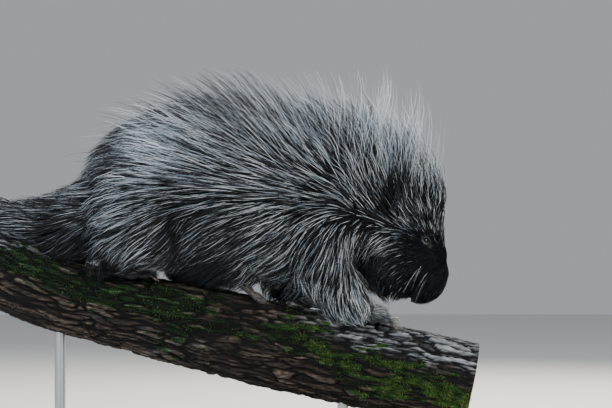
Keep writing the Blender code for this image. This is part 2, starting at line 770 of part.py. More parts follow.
def make_ear(name, side, head_room):
    """A small cupped ear that stands on the head and leans out."""
    shell = mass(name, (0, 0, 0), (EAR_WIDTH / 2, EAR_DEPTH / 2, EAR_HEIGHT / 2), 2)
    room = (EAR_WIDTH / 2 - 0.25, EAR_DEPTH / 2, EAR_HEIGHT / 2 - 0.3)
    cup = mass("cup", (0.15, 0.45 * side, 0.1), room, 2)
    combine(shell, cup, "DIFFERENCE")
    shell.data.transform(Matrix.Rotation(math.radians(-EAR_LEAN * side), 4, "X"))
    shell.data.transform(Matrix.Translation(at(EAR[0], EAR[1] * side, EAR[2])))
    combine(shell, copy_of(head_room, "room"), "DIFFERENCE")
    return keep_largest(shell)


def grow_coat(tail, torso, head, legs, skin, fixed):
    """Locks over every node of flesh and quills over the back, each node kept clear of those before it."""
    random.seed(COAT_SEED)
    fixed = [tree_of(thing) for thing in fixed]

    def others(*nodes, by=CLEARANCE):
        rooms = [swollen(node, by * CM) for node in nodes]
        trees = [tree_of(room) for room in rooms]
        for room in rooms:
            bpy.data.objects.remove(room)
        return fixed + trees

    line = ((-33.4, 0, 39.5), (-29.7, 0, 38.6), (-24.1, 0, 37.6), (-16.6, 0, 38.2))
    roots = roots_around(tail, line, 3.3, 3.0)
    fuse(tail, locks_on(skin, roots, others(torso), 1.1, 0.55))

    for leg, line in zip(legs, (FORELEG_RIGHT, FORELEG_LEFT)):
        roots = roots_around(leg, [spot[:3] for spot in line[2:]], 1.7, 2.7)
        fuse(leg, locks_on(skin, roots, others(torso, head), 1.0, 0.5))

    random.seed(TORSO_SEED)
    line = ((-14.6, 0, 39.5), (-8.0, 0, 40.5), (8.0, 0, 41.0), (18.0, 0, 40.4))
    roots = roots_around(torso, line, 4.1, 4.7)
    roots += roots_around(torso, ((18.4, 0, 40.2), (25.9, 0, 38.4)), 2.6, 4.2)
    for line in (FORELEG_RIGHT, FORELEG_LEFT):
        roots += roots_around(torso, (line[1][:3], line[2][:3]), 2.0, 3.4, low_down, 4.2)
    line = ((-12.0, 0, 42.0), (8.0, 0, 42.0), (25.0, 0, 40.0))
    quills = roots_around(torso, line, 3.4, 3.2, on_the_back)
    near = others(tail, head, *legs, by=2 * CLEARANCE)
    fuse(torso, locks_on(skin, roots, near, 1.15, 0.6, 1.6, LOCK_RINGS) + quills_on(quills, near), 0.66)

    random.seed(HEAD_SEED)
    line = ((26.6, 0, 40.6), (30.8, 0, 37.4), (31.5, 0, 31.4))
    roots = roots_around(head, line, 1.9, 2.4, off_the_muzzle)
    fuse(head, locks_on(tree_of(head), roots, others(torso, *legs), 1.1, 0.44, 1.2))


def low_down(point, normal):
    return point.z < 33.5 * CM


def on_the_back(point, normal):
    return normal.z > 0.35 and random.random() < 0.62


def off_the_muzzle(point, normal):
    """Keeps locks away from the eyes, nose, lips and chin."""
    eye = min((point - at(EYE[0], EYE[1] * side, EYE[2])).length for side in (1, -1))
    return point.z > 31.6 * CM and eye > 1.7 * CM and point.x < 34.4 * CM


def main():
    clear_scene()
    perch = make_perch()
    room = make_perch(GAP)
    nodes = make_stand(room)

    trunk = make_trunk()
    combine(trunk, copy_of(room, "room"), "DIFFERENCE")
    trunk_room = swollen(trunk, GAP)
    tail = copy_of(trunk, "tail")
    cut_away(tail, at(*TAIL_CUT[0]), Vector(TAIL_CUT[1]))
    torso = copy_of(trunk, "torso")
    cut_away(torso, at(*TAIL_CUT[0]), -Vector(TAIL_CUT[1]))
    cut_away(torso, at(*HEAD_CUT[0]), Vector(HEAD_CUT[1]))
    keep_largest(tail)
    skin = tree_of(trunk)

    head = make_head()
    head_room = swollen(head, GAP)
    ears = [make_ear(name, side, head_room) for name, side in (("ear_left", 1), ("ear_right", -1))]
    eyes = [
        mass(name, (EYE[0], EYE[1] * side, EYE[2]), [EYE_RADIUS] * 3, 2)
        for name, side in (("eye_left", 1), ("eye_right", -1))
    ]

    paws = {}
    for name in PAWS:
        paws[name] = make_paw(name, room)
        if name.startswith("hind"):
            combine(paws[name], copy_of(trunk_room, "room"), "DIFFERENCE")
            keep_largest(paws[name])
    legs = []
    for name, (point, towards) in FORELEG_CUTS.items():
        down = Vector(towards).normalized()
        leg = copy_of(trunk, name)
        combine(leg, half_space(at(*point) + down * GAP, down, CUT_BOX * CM), "INTERSECT")
        combine(leg, swollen(paws[name.replace("leg", "paw")], GAP), "DIFFERENCE")
        legs.append(keep_largest(leg))
        combine(torso, half_space(at(*point) - down * GAP, down, CUT_BOX * CM), "DIFFERENCE")
    keep_largest(torso)
    bpy.data.objects.remove(trunk)

    fixed = [room, *(swollen(thing, CLEARANCE * CM) for thing in (*paws.values(), *ears))]
    grow_coat(tail, torso, head, legs, skin, fixed)

    perch.name = "perch_bough"
    for helper in (*fixed, trunk_room, head_room):
        bpy.data.objects.remove(helper)

    coat = material("coat", (0.035, 0.032, 0.035), 0.8)
    bare = material("bare skin and claws", (0.02, 0.018, 0.018), 0.5)
    eye = material("eye", (0.01, 0.008, 0.008), 0.1)
    bark = material("mossy bark", (0.06, 0.055, 0.035), 0.9)
    plate = material("stand plate", (0.55, 0.54, 0.5), 0.5)
    steel = material("stand rods", (0.4, 0.4, 0.4), 0.35, 1.0)
    finish = {tail: coat, torso: coat, head: coat, perch: bark, nodes[0]: plate}
    finish.update({thing: steel for thing in nodes[1:]})
    finish.update({thing: coat for thing in (*ears, *legs)})
    finish.update({thing: bare for thing in paws.values()})
    finish.update({thing: eye for thing in eyes})
    for thing, look in finish.items():
        thing.data.materials.clear()
        own = look.copy()
        own.name = thing.name
        thing.data.materials.append(own)
        thing.data.name = thing.name


main()
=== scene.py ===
import math

import bmesh
import bpy
import numpy as np
from mathutils import Matrix, Vector, noise
from mathutils.bvhtree import BVHTree
from mathutils.kdtree import KDTree


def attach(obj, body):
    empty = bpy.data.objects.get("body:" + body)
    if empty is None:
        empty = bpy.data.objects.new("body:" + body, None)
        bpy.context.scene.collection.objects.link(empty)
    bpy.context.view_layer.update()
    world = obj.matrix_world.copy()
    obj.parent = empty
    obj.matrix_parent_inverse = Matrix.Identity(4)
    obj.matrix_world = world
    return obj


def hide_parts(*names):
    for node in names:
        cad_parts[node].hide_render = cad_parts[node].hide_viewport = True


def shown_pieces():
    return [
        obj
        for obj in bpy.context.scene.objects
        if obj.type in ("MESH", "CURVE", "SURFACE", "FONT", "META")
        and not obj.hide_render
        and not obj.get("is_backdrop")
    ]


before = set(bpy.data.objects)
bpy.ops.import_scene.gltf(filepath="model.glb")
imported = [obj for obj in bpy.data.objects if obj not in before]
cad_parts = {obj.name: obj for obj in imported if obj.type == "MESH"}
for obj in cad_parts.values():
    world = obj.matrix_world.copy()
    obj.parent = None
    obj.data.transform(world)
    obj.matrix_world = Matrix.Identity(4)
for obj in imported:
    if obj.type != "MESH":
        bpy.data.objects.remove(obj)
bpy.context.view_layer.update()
dice = np.random.default_rng(11)
noise.seed_set(7)  # the same bark each run
cm = 0.01
mm = 0.001
hairShare = 1.0


# small helpers for materials and meshes


def linearColour(hexValue):
    parts = [int(hexValue[i:i + 2], 16) / 255 for i in (1, 3, 5)]
    return tuple(p / 12.92 if p <= 0.04045 else ((p + 0.055) / 1.055) ** 2.4 for p in parts) + (1.0,)


def addNode(material, kind, inputs=None, **settings):
    # inputs holds a value or another node's output for each socket, by name or number
    node = material.node_tree.nodes.new("ShaderNode" + kind)
    for key, value in settings.items():
        setattr(node, key, value)
    for key, value in (inputs or {}).items():
        if isinstance(value, bpy.types.NodeSocket):
            material.node_tree.links.new(value, node.inputs[key])
        else:
            node.inputs[key].default_value = value
    return node


def markNode(material, name):
    return addNode(material, "Attribute", attribute_name=name).outputs["Fac"]


def spotNode(material, scale=None, turn=0.0):
    # a point's place, or its place scaled on axes turned in the side view
    spot = addNode(material, "NewGeometry").outputs["Position"]
    if scale is None:
        return spot
    inputs = {"Vector": spot, "Rotation": (0, math.radians(turn), 0), "Scale": scale}
    return addNode(material, "Mapping", inputs).outputs[0]


def noiseNode(material, scale, detail=2.0, **inputs):
    return addNode(material, "TexNoise", {"Scale": scale, "Detail": detail, **inputs}).outputs["Fac"]


def rampNode(material, factor, *stops):
    # each stop is a place with a hex colour or a bare share
    node = addNode(material, "ValToRGB", {"Fac": factor})
    elements = node.color_ramp.elements
    while len(elements) < len(stops):
        elements.new(1.0)
    for element, (position, colour) in zip(elements, stops):
        element.position = position
        element.color = linearColour(colour) if isinstance(colour, str) else (colour,) * 3 + (1.0,)
    return node.outputs[0]


def mixNode(material, share, first, second):
    return addNode(material, "Mix", {0: share, 6: first, 7: second}, data_type="RGBA").outputs[2]


def mathNode(material, operation, *values):
    return addNode(material, "Math", dict(enumerate(values)), operation=operation).outputs[0]


def rangeNode(material, value, low, high, toLow=0.0, toHigh=1.0, kind="LINEAR"):
    inputs = {"Value": value, "From Min": low, "From Max": high, "To Min": toLow, "To Max": toHigh}
    return addNode(material, "MapRange", inputs, interpolation_type=kind).outputs[0]


def bumpNode(material, height, strength, distance, over=None, invert=False):
    inputs = {"Height": height, "Strength": strength, "Distance": distance}
    if over is not None:
        inputs["Normal"] = over
    return addNode(material, "Bump", inputs, invert=invert).outputs[0]


def newMaterial(name):
    made = bpy.data.materials.new(name)
    made.use_nodes = True
    made.node_tree.nodes.clear()
    return made


def finishMaterial(material, **sockets):
    # sockets are the shader's own inputs, with "_" for each space
    values = {key.replace("_", " "): value for key, value in sockets.items()}
    shader = addNode(material, "BsdfPrincipled", values)
    addNode(material, "OutputMaterial", {"Surface": shader.outputs[0]})
    return material


def speckledMaterial(name, scale, detail, stops, strength, distance, **sockets):
    # one fine noise gives both tone and relief
    made = newMaterial(name)
    speck = noiseNode(made, scale, detail)
    return finishMaterial(made, Base_Color=rampNode(made, speck, *stops),
                          Normal=bumpNode(made, speck, strength, distance), **sockets)


def markedMaterial(name, mark, stops, scale, strength, distance, **sockets):
    # colour from a mark on the mesh, relief from a fine noise
    made = newMaterial(name)
    return finishMaterial(made, Base_Color=rampNode(made, markNode(made, mark), *stops),
                          Normal=bumpNode(made, noiseNode(made, scale), strength, distance), **sockets)


def tippedMaterial(name, *stops, **sockets):
    # strands whose colour changes from root to tip, each by its own shade
    made = newMaterial(name)
    both = mathNode(made, "MULTIPLY", markNode(made, "along"), markNode(made, "shade"))
    return finishMaterial(made, Base_Color=rampNode(made, both, *stops), **sockets)


def unit(rows):
    return rows / np.maximum(np.linalg.norm(rows, axis=-1, keepdims=True), 1e-9)


def mirrored(spot, side):
    return np.array(spot) * (1, side, 1)


def smoothStep(low, high, value):
    t = np.clip((value - low) / (high - low), 0.0, 1.0)
    return t * t * (3 - 2 * t)


def splineRows(rows, count):
    # a smooth curve through rows of numbers
    rows = np.array(rows, float)
    places = np.linspace(0, len(rows) - 1, count)
    i = np.minimum(places.astype(int), len(rows) - 2)
    t = (places - i)[:, None]
    a, b, c, d = (rows[np.clip(i + n, 0, len(rows) - 1)] for n in (-1, 0, 1, 2))
    return 0.5 * (2 * b + (c - a) * t + (2 * a - 5 * b + 4 * c - d) * t ** 2 + (3 * b - a - 3 * c + d) * t ** 3)


def newObject(name, data):
    made = bpy.data.objects.new(name, data)
    bpy.context.scene.collection.objects.link(made)
    return made


def meshObject(name, points, faces):
    mesh = bpy.data.meshes.new(name)
    mesh.from_pydata([tuple(p) for p in points], [], [tuple(f) for f in faces])
    return newObject(name, mesh)


def fromWork(name, work):
    # an object from a bmesh, which is freed
    mesh = bpy.data.meshes.new(name)
    work.to_mesh(mesh)
    work.free()
    return newObject(name, mesh)


def loftedTube(work, centres, heights, widths, sides):
    # adds a closed tube to a bmesh: half height across the side view, half width in Y
    centres = np.array(centres, float)
    along = unit(np.gradient(centres, axis=0))
    across = unit(np.array([0.0, 1.0, 0.0]) - along * along[:, 1:2])
    up = np.cross(along, across)
    turn = 2 * math.pi * np.arange(sides) / sides
    rings = (centres[:, None] + across[:, None] * np.cos(turn)[None, :, None] * np.array(widths)[:, None, None]
             + up[:, None] * np.sin(turn)[None, :, None] * np.array(heights)[:, None, None])
    verts = [[work.verts.new(p * cm) for p in ring] for ring in rings]
    for a, b in zip(verts, verts[1:]):
        for k in range(sides):
            n = (k + 1) % sides
            work.faces.new((a[k], a[n], b[n], b[k]))
    work.faces.new(tuple(reversed(verts[0])))
    work.faces.new(tuple(verts[-1]))


def roundMass(work, centre, radii, detail=3):
    made = bmesh.ops.create_icosphere(work, subdivisions=detail, radius=1.0)
    for v in made["verts"]:
        v.co = Vector([(v.co[i] * radii[i] + centre[i]) * cm for i in range(3)])


def meltTogether(name, work, voxel, smoothing):
    # one closed skin over overlapping pieces
    bmesh.ops.recalc_face_normals(work, faces=work.faces)
    made = fromWork(name, work)
    melt = made.modifiers.new("melt", "REMESH")
    melt.mode = "VOXEL"
    melt.voxel_size = voxel * cm
    soften = made.modifiers.new("soften", "SMOOTH")
    soften.factor = 0.5
    soften.iterations = smoothing
    return applyModifiers(made)


def applyModifiers(thing):
    bpy.context.view_layer.update()
    evaluated = thing.evaluated_get(bpy.context.evaluated_depsgraph_get())
    mesh = bpy.data.meshes.new_from_object(evaluated)
    thing.modifiers.clear()
    old, thing.data = thing.data, mesh
    bpy.data.meshes.remove(old)
    thing.data.shade_smooth()
    return thing


def readPoints(thing, kind="co"):
    values = np.empty(len(thing.data.vertices) * 3)
    thing.data.vertices.foreach_get(kind, values)
    return values.reshape(-1, 3)


def writePoints(thing, points):
    thing.data.vertices.foreach_set("co", points.ravel())
    thing.data.update()


def setMark(thing, name, values):
    # one number for each vertex, which the material reads
    if name not in thing.data.attributes:
        thing.data.attributes.new(name, "FLOAT", "POINT")
    thing.data.attributes[name].data.foreach_set("value", np.asarray(values, np.float32))


def place(thing, material, slot, *nodes):
    # finish, slot, body and the CAD nodes that the piece stands for; the slot is not used
    thing.data.materials.clear()
    thing.data.materials.append(material)
    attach(thing, "root")
    if nodes:
        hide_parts(*nodes)
    return thing


def unwrap(thing):
    # islands of the skin's own shape, for the coat and for later painting
    while thing.data.uv_layers:
        thing.data.uv_layers.remove(thing.data.uv_layers[0])
    thing.data.uv_layers.new(name="OFBake")
    bpy.ops.object.select_all(action="DESELECT")
    thing.select_set(True)
    bpy.context.view_layer.objects.active = thing
    bpy.ops.object.mode_set(mode="EDIT")
    bpy.ops.mesh.select_all(action="SELECT")
    bpy.ops.uv.smart_project(angle_limit=1.15, island_margin=0.003)
    bpy.ops.object.mode_set(mode="OBJECT")


# the body under its coat, and what shapes the face, in cm
body = {
    "voxel": 0.35,  # cm
    "smoothing": 6,
    # x, top, bottom, half width
    "trunk": ((-15.9, 41.6, 35.6, 3.0), (-13.5, 44.6, 33.6, 5.6), (-10.2, 47.5, 32.5, 7.9), (-5.8, 50.1, 31.6, 9.4),
              (-0.7, 51.5, 31.0, 10.2), (5.1, 51.7, 30.9, 10.4), (10.2, 50.9, 31.0, 9.8), (14.5, 49.6, 31.0, 8.8),
              (18.4, 47.7, 31.2, 7.5), (21.8, 45.7, 31.8, 6.2), (25.1, 43.6, 32.6, 5.2), (28.6, 41.2, 33.9, 3.9)),
    # x, z, half height, half width
    "tail": ((-13.0, 39.2, 4.6, 4.6), (-16.2, 38.4, 3.8, 4.1), (-19.6, 37.8, 2.8, 3.5), (-24.1, 37.5, 1.8, 2.7),
             (-29.7, 38.6, 1.2, 2.0), (-33.3, 39.5, 0.7, 1.3), (-34.6, 39.9, 0.35, 0.6)),
    "muscles": (((17.2, 5.3, 38.6), (4.8, 3.6, 6.6)), ((-7.6, 5.7, 38.6), (6.6, 4.4, 7.0))),
    # x, y, z, radius
    "legs": (((17.4, -5.8, 36.6, 3.1), (17.2, -6.0, 33.2, 2.8), (19.3, -4.8, 29.2, 2.1), (21.6, -3.2, 25.4, 1.45)),
             ((13.4, 5.8, 36.6, 3.1), (11.4, 6.0, 33.4, 2.8), (11.4, 4.8, 30.6, 2.1), (12.4, 3.2, 27.4, 1.45)),
             ((-7.0, -6.2, 36.8, 4.0), (-7.4, -6.4, 34.6, 3.7), (-10.6, -5.0, 33.2, 2.5), (-13.1, -3.5, 32.2, 1.7)),
             ((0.8, 6.2, 36.8, 4.0), (0.6, 6.4, 34.4, 3.7), (-2.4, 5.0, 32.2, 2.5), (-4.3, 3.5, 30.8, 1.7))),
    "head": (((29.3, 0.0, 37.6), (4.1, 3.8, 4.1)), ((31.5, 0.0, 37.0), (2.8, 2.8, 3.5)),
             ((32.3, 0.0, 33.6), (2.4, 2.3, 3.8)), ((32.6, 0.0, 29.9), (2.65, 2.35, 3.2)),
             ((33.5, 0.0, 30.0), (1.9, 1.95, 2.05)), ((32.7, 0.0, 31.9), (2.4, 1.95, 2.6)),
             ((31.5, 0.0, 28.0), (2.2, 2.0, 1.9)), ((28.2, 0.0, 29.6), (2.6, 1.8, 2.8)),
             ((26.4, 0.0, 33.4), (4.1, 3.6, 5.3))),
    "headPairs": (((28.9, 1.9, 33.6), (3.4, 2.1, 3.8)), ((31.0, 1.1, 33.0), (2.4, 1.7, 3.3)),
                  ((31.3, 1.5, 36.0), (1.8, 1.6, 1.8)), ((32.3, 1.1, 29.3), (2.0, 1.4, 2.4)),
                  ((29.4, 1.0, 31.0), (2.7, 1.7, 2.5))),
}
eye = {
    "centre": (31.75, 2.35, 34.65), "radius": 0.8, "outward": (0.42, 0.9, 0.05), "opening": (0.68, 0.54),
    "lid": 0.12, "upperLid": 1.7, "lowerLid": 1.1, "tilt": 20,
    "socket": (0.3, 0.75),  # depth, radius
    "rim": (0.12, 1.15, 0.3),  # height, radius, width
}
nose = {"nostril": (34.75, 1.15, 29.95), "size": (0.75, 0.4, 0.45), "depth": 0.42, "rim": (0.10, 1.75, 0.45)}
mouth = {"low": (29.35, 25.9), "corner": (31.1, 29.0), "depth": 0.35, "width": 0.22, "lip": (0.08, 0.5, 0.2)}
lipPad = {"centre": (32.6, 1.6, 28.2), "size": (1.7, 1.4, 2.0), "height": 0.22, "folds": 0.035}


def makeSkin():
    work = bmesh.new()
    rows = splineRows(body["trunk"], 40)
    middles = np.stack([rows[:, 0], rows[:, 0] * 0, (rows[:, 1] + rows[:, 2]) / 2], 1)
    loftedTube(work, middles, (rows[:, 1] - rows[:, 2]) / 2, rows[:, 3], 40)
    rows = splineRows(body["tail"], 26)
    loftedTube(work, np.stack([rows[:, 0], rows[:, 0] * 0, rows[:, 1]], 1), rows[:, 2], rows[:, 3], 24)
    for side in (1, -1):
        for centre, radii in body["muscles"] + body["headPairs"]:
            roundMass(work, (centre[0], centre[1] * side, centre[2]), radii)
    for centre, radii in body["head"]:
        roundMass(work, centre, radii)
    for leg in body["legs"]:
        rows = splineRows(leg, 12)
        loftedTube(work, rows[:, :3], rows[:, 3], rows[:, 3], 16)
    skin = meltTogether("skin", work, body["voxel"], body["smoothing"])
    refineFace(skin)
    shapeFace(skin)
    return skin


def refineFace(skin):
    # finer faces round the muzzle and the eyes, for lips, nostrils and lids
    work = bmesh.new()
    work.from_mesh(skin.data)
    bmesh.ops.triangulate(work, faces=work.faces)
    middles = [(face, face.calc_center_median()) for face in work.faces]
    near = [face for face, middle in middles if middle.x > 28.6 * cm and middle.z < 37.5 * cm]
    edges = list({e for face in near for e in face.edges})
    bmesh.ops.subdivide_edges(work, edges=edges, cuts=1, smooth=0.3, use_grid_fill=True)
    bmesh.ops.triangulate(work, faces=work.faces)
    work.to_mesh(skin.data)
    work.free()
    skin.data.shade_smooth()


def ringPush(far, shape):
    # a raised ring: height, radius and width
    height, radius, width = shape
    return height * np.exp(-((far - radius) / width) ** 2)


def shapeFace(skin):
    # pushes the nostrils, the mouth line and the eye sockets in, and the lips and lids out
    points = readPoints(skin) / cm
    normals = readPoints(skin, "normal")
    x, z = points.T[[0, 2]]
    push = np.zeros(len(points))
    for side in (1, -1):
        near = (((points - mirrored(nose["nostril"], side)) / nose["size"]) ** 2).sum(1)
        push -= nose["depth"] * np.exp(-near ** 2)
        push += ringPush(np.sqrt(near), nose["rim"])
        far = np.linalg.norm(points - mirrored(eye["centre"], side), axis=1)
        depth, radius = eye["socket"]
        push -= depth * np.exp(-(far / radius) ** 4)
        push += ringPush(far, eye["rim"])
        pad = np.linalg.norm((points - mirrored(lipPad["centre"], side)) / lipPad["size"], axis=1)
        push += lipPad["height"] * np.exp(-pad ** 2)
    low, corner = np.array(mouth["low"]), np.array(mouth["corner"])
    line = corner - low
    share = np.clip(((x - low[0]) * line[0] + (z - low[1]) * line[1]) / (line @ line), 0, 1)
    off = np.hypot(x - low[0] - share * line[0], z - low[1] - share * line[1])
    push -= mouth["depth"] * np.exp(-(off / mouth["width"]) ** 2)
    push += ringPush(off, mouth["lip"]) * (z < 29.5)
    # folds of the upper lip
    fold = np.sin((x * 0.8 + z * 0.25) * 7.0) * np.exp(-(((x - 32.3) / 1.5) ** 2 + ((z - 28.0) / 1.6) ** 2))
    push += lipPad["folds"] * fold
    writePoints(skin, (points + normals * push[:, None]) * cm)


skin = makeSkin()
unwrap(skin)
print("skin", len(skin.data.polygons), "faces")

# the coat's lie seen from the side: x, z, degrees from +X towards +Z, length in cm, lift off the skin in degrees
lie = {
    "tail tip": (-33.0, 39.8, 178, 3.0, 14),
    "tail": (-24.0, 38.0, 182, 4.2, 15),
    "tail root": (-18.1, 40.6, 176, 5.4, 17),
    # the long hanging hair under the tail and behind the heel is partly painted shade: dark hair filling the shade
    # between the tail root and the bough
    "under the tail": (-17.8, 34.8, 232, 6.0, 55),
    "behind the heel": (-15.4, 34.0, 248, 5.6, 54),
    "rump back": (-14.2, 45.4, 176, 5.4, 20),
    "rump edge": (-12.6, 48.7, 168, 5.6, 24),
    "rump low": (-14.6, 36.0, 188, 6.0, 24),
    "rump top": (-8.0, 51.5, 150, 7.2, 28),
    "rump": (-8.0, 46.4, 152, 7.4, 20),
    "mid back": (0.7, 54.4, 132, 7.6, 32),
    "back": (8.0, 55.1, 118, 7.8, 36),
    "fore back": (13.8, 53.7, 110, 7.8, 38),
    "nape": (19.6, 51.5, 106, 8.6, 46),
    "nape front": (24.4, 46.5, 98, 11.5, 64),
    "nape crest": (27.0, 44.0, 92, 13.5, 72),
    "nape side": (25.0, 43.5, 118, 8.0, 38),
    "crown": (29.4, 42.6, 89, 11.0, 68),
    "crown front": (31.3, 41.2, 88, 9.4, 62),
    "brow": (32.9, 39.4, 91, 6.8, 48),
    "forehead": (34.0, 36.6, 97, 1.9, 14),
    "temple": (30.5, 37.4, 140, 2.4, 18),
    "behind the ear": (25.4, 40.5, 132, 4.2, 22),
    "cheek": (28.3, 34.0, 182, 2.6, 14),
    "low cheek": (27.4, 31.6, 198, 2.2, 14),
    "jaw": (27.6, 29.0, 235, 1.6, 22),
    "throat": (24.6, 31.6, 262, 4.4, 28),
    "side of neck": (22.5, 39.9, 150, 5.0, 19),
    "shoulder": (16.7, 42.1, 166, 6.0, 18),
    "upper shoulder": (13.8, 47.9, 138, 7.2, 24),
    "high flank": (-0.7, 49.5, 148, 7.4, 21),
    "mid flank": (3.3, 46.5, 156, 7.4, 19),
    "flank": (6.5, 42.1, 172, 7.0, 17),
    "rear flank": (-0.7, 42.1, 176, 7.0, 17),
    "low flank": (3.3, 37.8, 208, 6.0, 15),
    "groin": (-1.8, 36.8, 234, 4.6, 14),
    "belly side": (9.0, 34.0, 208, 5.2, 15),
    "low belly side": (3.0, 33.2, 225, 4.4, 22),
    "thigh": (-9.0, 40.5, 194, 7.0, 17),
    "low thigh": (-7.6, 36.3, 214, 6.2, 15),
    "shin": (-11.6, 32.0, 232, 2.8, 13),
    "upper arm": (18.1, 35.5, 252, 5.2, 16),
    "arm front": (21.6, 33.6, 277, 4.0, 14),
    "elbow": (14.5, 32.6, 222, 6.0, 24),
    "forearm": (19.8, 28.2, 264, 4.4, 16),
    "forearm front": (21.9, 29.4, 296, 4.4, 18),
    "back of the forearm": (17.2, 28.4, 238, 6.0, 26),
    "wrist": (22.9, 26.8, 312, 4.8, 26),
    "paw root": (21.6, 25.4, 300, 4.0, 24),
    "chest": (22.6, 31.2, 258, 4.0, 22),
    # the belly hairs hang long and steep, partly as painted shade: dark hair filling the shade under the belly
    "belly": (2.6, 30.7, 225, 4.6, 58),
    "belly middle": (6.6, 30.8, 244, 4.4, 60),
    "belly rear": (-5.6, 31.0, 200, 2.2, 10),
    "belly fore": (10.2, 31.0, 215, 3.0, 40),
    "muzzle": (32.0, 30.5, 205, 0.5, 12),
    "nose bridge": (34.6, 33.2, 100, 0.7, 14),
    "under the eye": (31.0, 32.8, 190, 0.8, 12),
    "chin": (30.0, 27.4, 250, 1.1, 30),
}
# the coat's markings: x, z, share of pale tips, how pale, how brown the dark part is; the near-black throat, belly and
# under-tail entries are dark fur with painted shade under the body
markings = {
    "tail": (-26.0, 38.5, 0.42, 0.6, 0.3),
    "rump back": (-14.5, 44.0, 0.32, 0.7, 0.3),
    "rump edge": (-12.6, 49.0, 0.12, 0.6, 0.7),
    "pale patch": (-3.6, 47.6, 0.85, 1.0, 0.1),
    "rump": (-10.5, 46.5, 0.26, 0.75, 0.4),
    "rump top": (-8.0, 51.8, 0.14, 0.75, 0.7),
    "high back": (-2.0, 52.5, 0.18, 0.75, 0.8),
    "mid back": (4.0, 53.0, 0.22, 0.8, 1.0),
    "fore back": (12.0, 52.5, 0.26, 0.8, 1.0),
    "nape": (20.0, 49.5, 0.42, 0.85, 0.7),
    "nape crest": (27.0, 46.0, 0.9, 1.0, 0.3),
    "crown": (29.8, 42.8, 0.6, 0.95, 0.3),
    "forehead": (33.6, 37.6, 0.6, 0.85, 0.2),
    "ear": (27.3, 39.4, 0.02, 0.4, 0.0),
    "above the ear": (26.8, 42.0, 0.6, 0.9, 0.5),
    "behind the ear": (25.0, 40.2, 0.42, 0.8, 0.2),
    "temple": (30.4, 38.0, 0.6, 0.85, 0.1),
    "cheek": (27.8, 34.6, 0.5, 0.7, 0.1),
    "low cheek": (27.4, 31.0, 0.06, 0.4, 0.0),
    # throat near black: dark fur, with the shade between the shoulder and the head painted in
    "throat": (24.2, 32.0, 0.03, 0.3, 0.0),
    "muzzle": (32.5, 30.0, 0.0, 0.2, 0.0),
    "under the eye": (31.2, 33.0, 0.05, 0.4, 0.0),
    "neck": (22.0, 39.5, 0.42, 0.8, 0.1),
    "shoulder": (16.0, 43.0, 0.42, 0.9, 0.2),
    "upper arm": (18.0, 35.0, 0.42, 0.75, 0.1),
    "forearm": (20.0, 28.0, 0.6, 0.95, 0.1),
    "flank": (4.0, 44.0, 0.4, 0.85, 0.2),
    "low flank": (3.0, 37.5, 0.22, 0.6, 0.1),
    "groin": (-1.5, 35.5, 0.12, 0.5, 0.0),
    "belly side": (11.0, 34.5, 0.3, 0.75, 0.1),
    # belly near black: dark fur, with the shade under the body above the bough painted in
    "belly": (3.0, 31.5, 0.02, 0.2, 0.0),
    "thigh": (-9.0, 41.0, 0.5, 0.8, 0.1),
    "low thigh": (-9.5, 35.5, 0.4, 0.7, 0.1),
    # under the tail near black: dark fur, with the shade between the tail root and the bough painted in
    "under the tail": (-18.0, 34.0, 0.03, 0.3, 0.0),
    "shin": (-12.0, 31.5, 0.06, 0.4, 0.1),
}


def blendTable(table, points, sharpness):
    # each point's shares of the table's places, the nearest weighing most
    x, z = points[:, 0] / cm, points[:, 2] / cm
    rows = np.array(list(table.values()), float)
    weight = 1 / ((x[:, None] - rows[:, 0]) ** 2 + (z[:, None] - rows[:, 1]) ** 2 + 1.0) ** sharpness
    weight /= weight.sum(1, keepdims=True)
    return weight, rows


def coatLie(points):
    # direction along the body, length and lift for each point in metres
    weight, rows = blendTable(lie, points, 1.6)
    turn = np.radians(rows[:, 2])
    flow = np.stack([weight @ np.cos(turn), np.zeros(len(points)), weight @ np.sin(turn)], 1)
    return unit(flow), weight @ rows[:, 3], np.radians(weight @ rows[:, 4])


def coatMarks(points):
    weight, rows = blendTable(markings, points, 2.4)
    return weight @ rows[:, 2:]


def readSurface(thing):
    # triangles, smooth normals and unwrap of a mesh, to plant hair on
    mesh = thing.data
    mesh.calc_loop_triangles()
    count = len(mesh.loop_triangles)
    corners = np.empty(count * 3, np.int32)
    mesh.loop_triangles.foreach_get("vertices", corners)
    loops = np.empty(count * 3, np.int32)
    mesh.loop_triangles.foreach_get("loops", loops)
    flat = np.empty(len(mesh.loops) * 2)
    mesh.uv_layers["OFBake"].data.foreach_get("uv", flat)
    points = readPoints(thing)
    work = bmesh.new()
    work.from_mesh(mesh)
    tree = BVHTree.FromBMesh(work)
    work.free()
    corners = corners.reshape(-1, 3)
    a, b, c = (points[corners[:, k]] for k in range(3))
    area = np.linalg.norm(np.cross(b - a, c - a), axis=1) / 2
    return {"points": points, "normals": readPoints(thing, "normal"), "corners": corners, "area": area,
            "tree": tree, "flat": flat.reshape(-1, 2)[loops.reshape(-1, 3)]}


def scatter(surface, count, weightAt=None):
    # roots spread over a surface: points, normals and their places on the unwrap
    corners = surface["corners"]
    middles = surface["points"][corners].mean(1)
    weight = surface["area"] * (1.0 if weightAt is None else weightAt(middles, surface["normals"][corners[:, 0]]))
    total = np.cumsum(weight)
    picked = np.searchsorted(total, (np.arange(count) + dice.random(count)) / count * total[-1])
    picked = np.minimum(picked, len(weight) - 1)
    u, v = dice.random(count), dice.random(count)
    over = u + v > 1
    u[over], v[over] = 1 - u[over], 1 - v[over]
    share = np.stack([1 - u - v, u, v], 1)[:, :, None]
    chosen = corners[picked]
    return ((surface["points"][chosen] * share).sum(1), unit((surface["normals"][chosen] * share).sum(1)),
            (surface["flat"][picked] * share).sum(1))


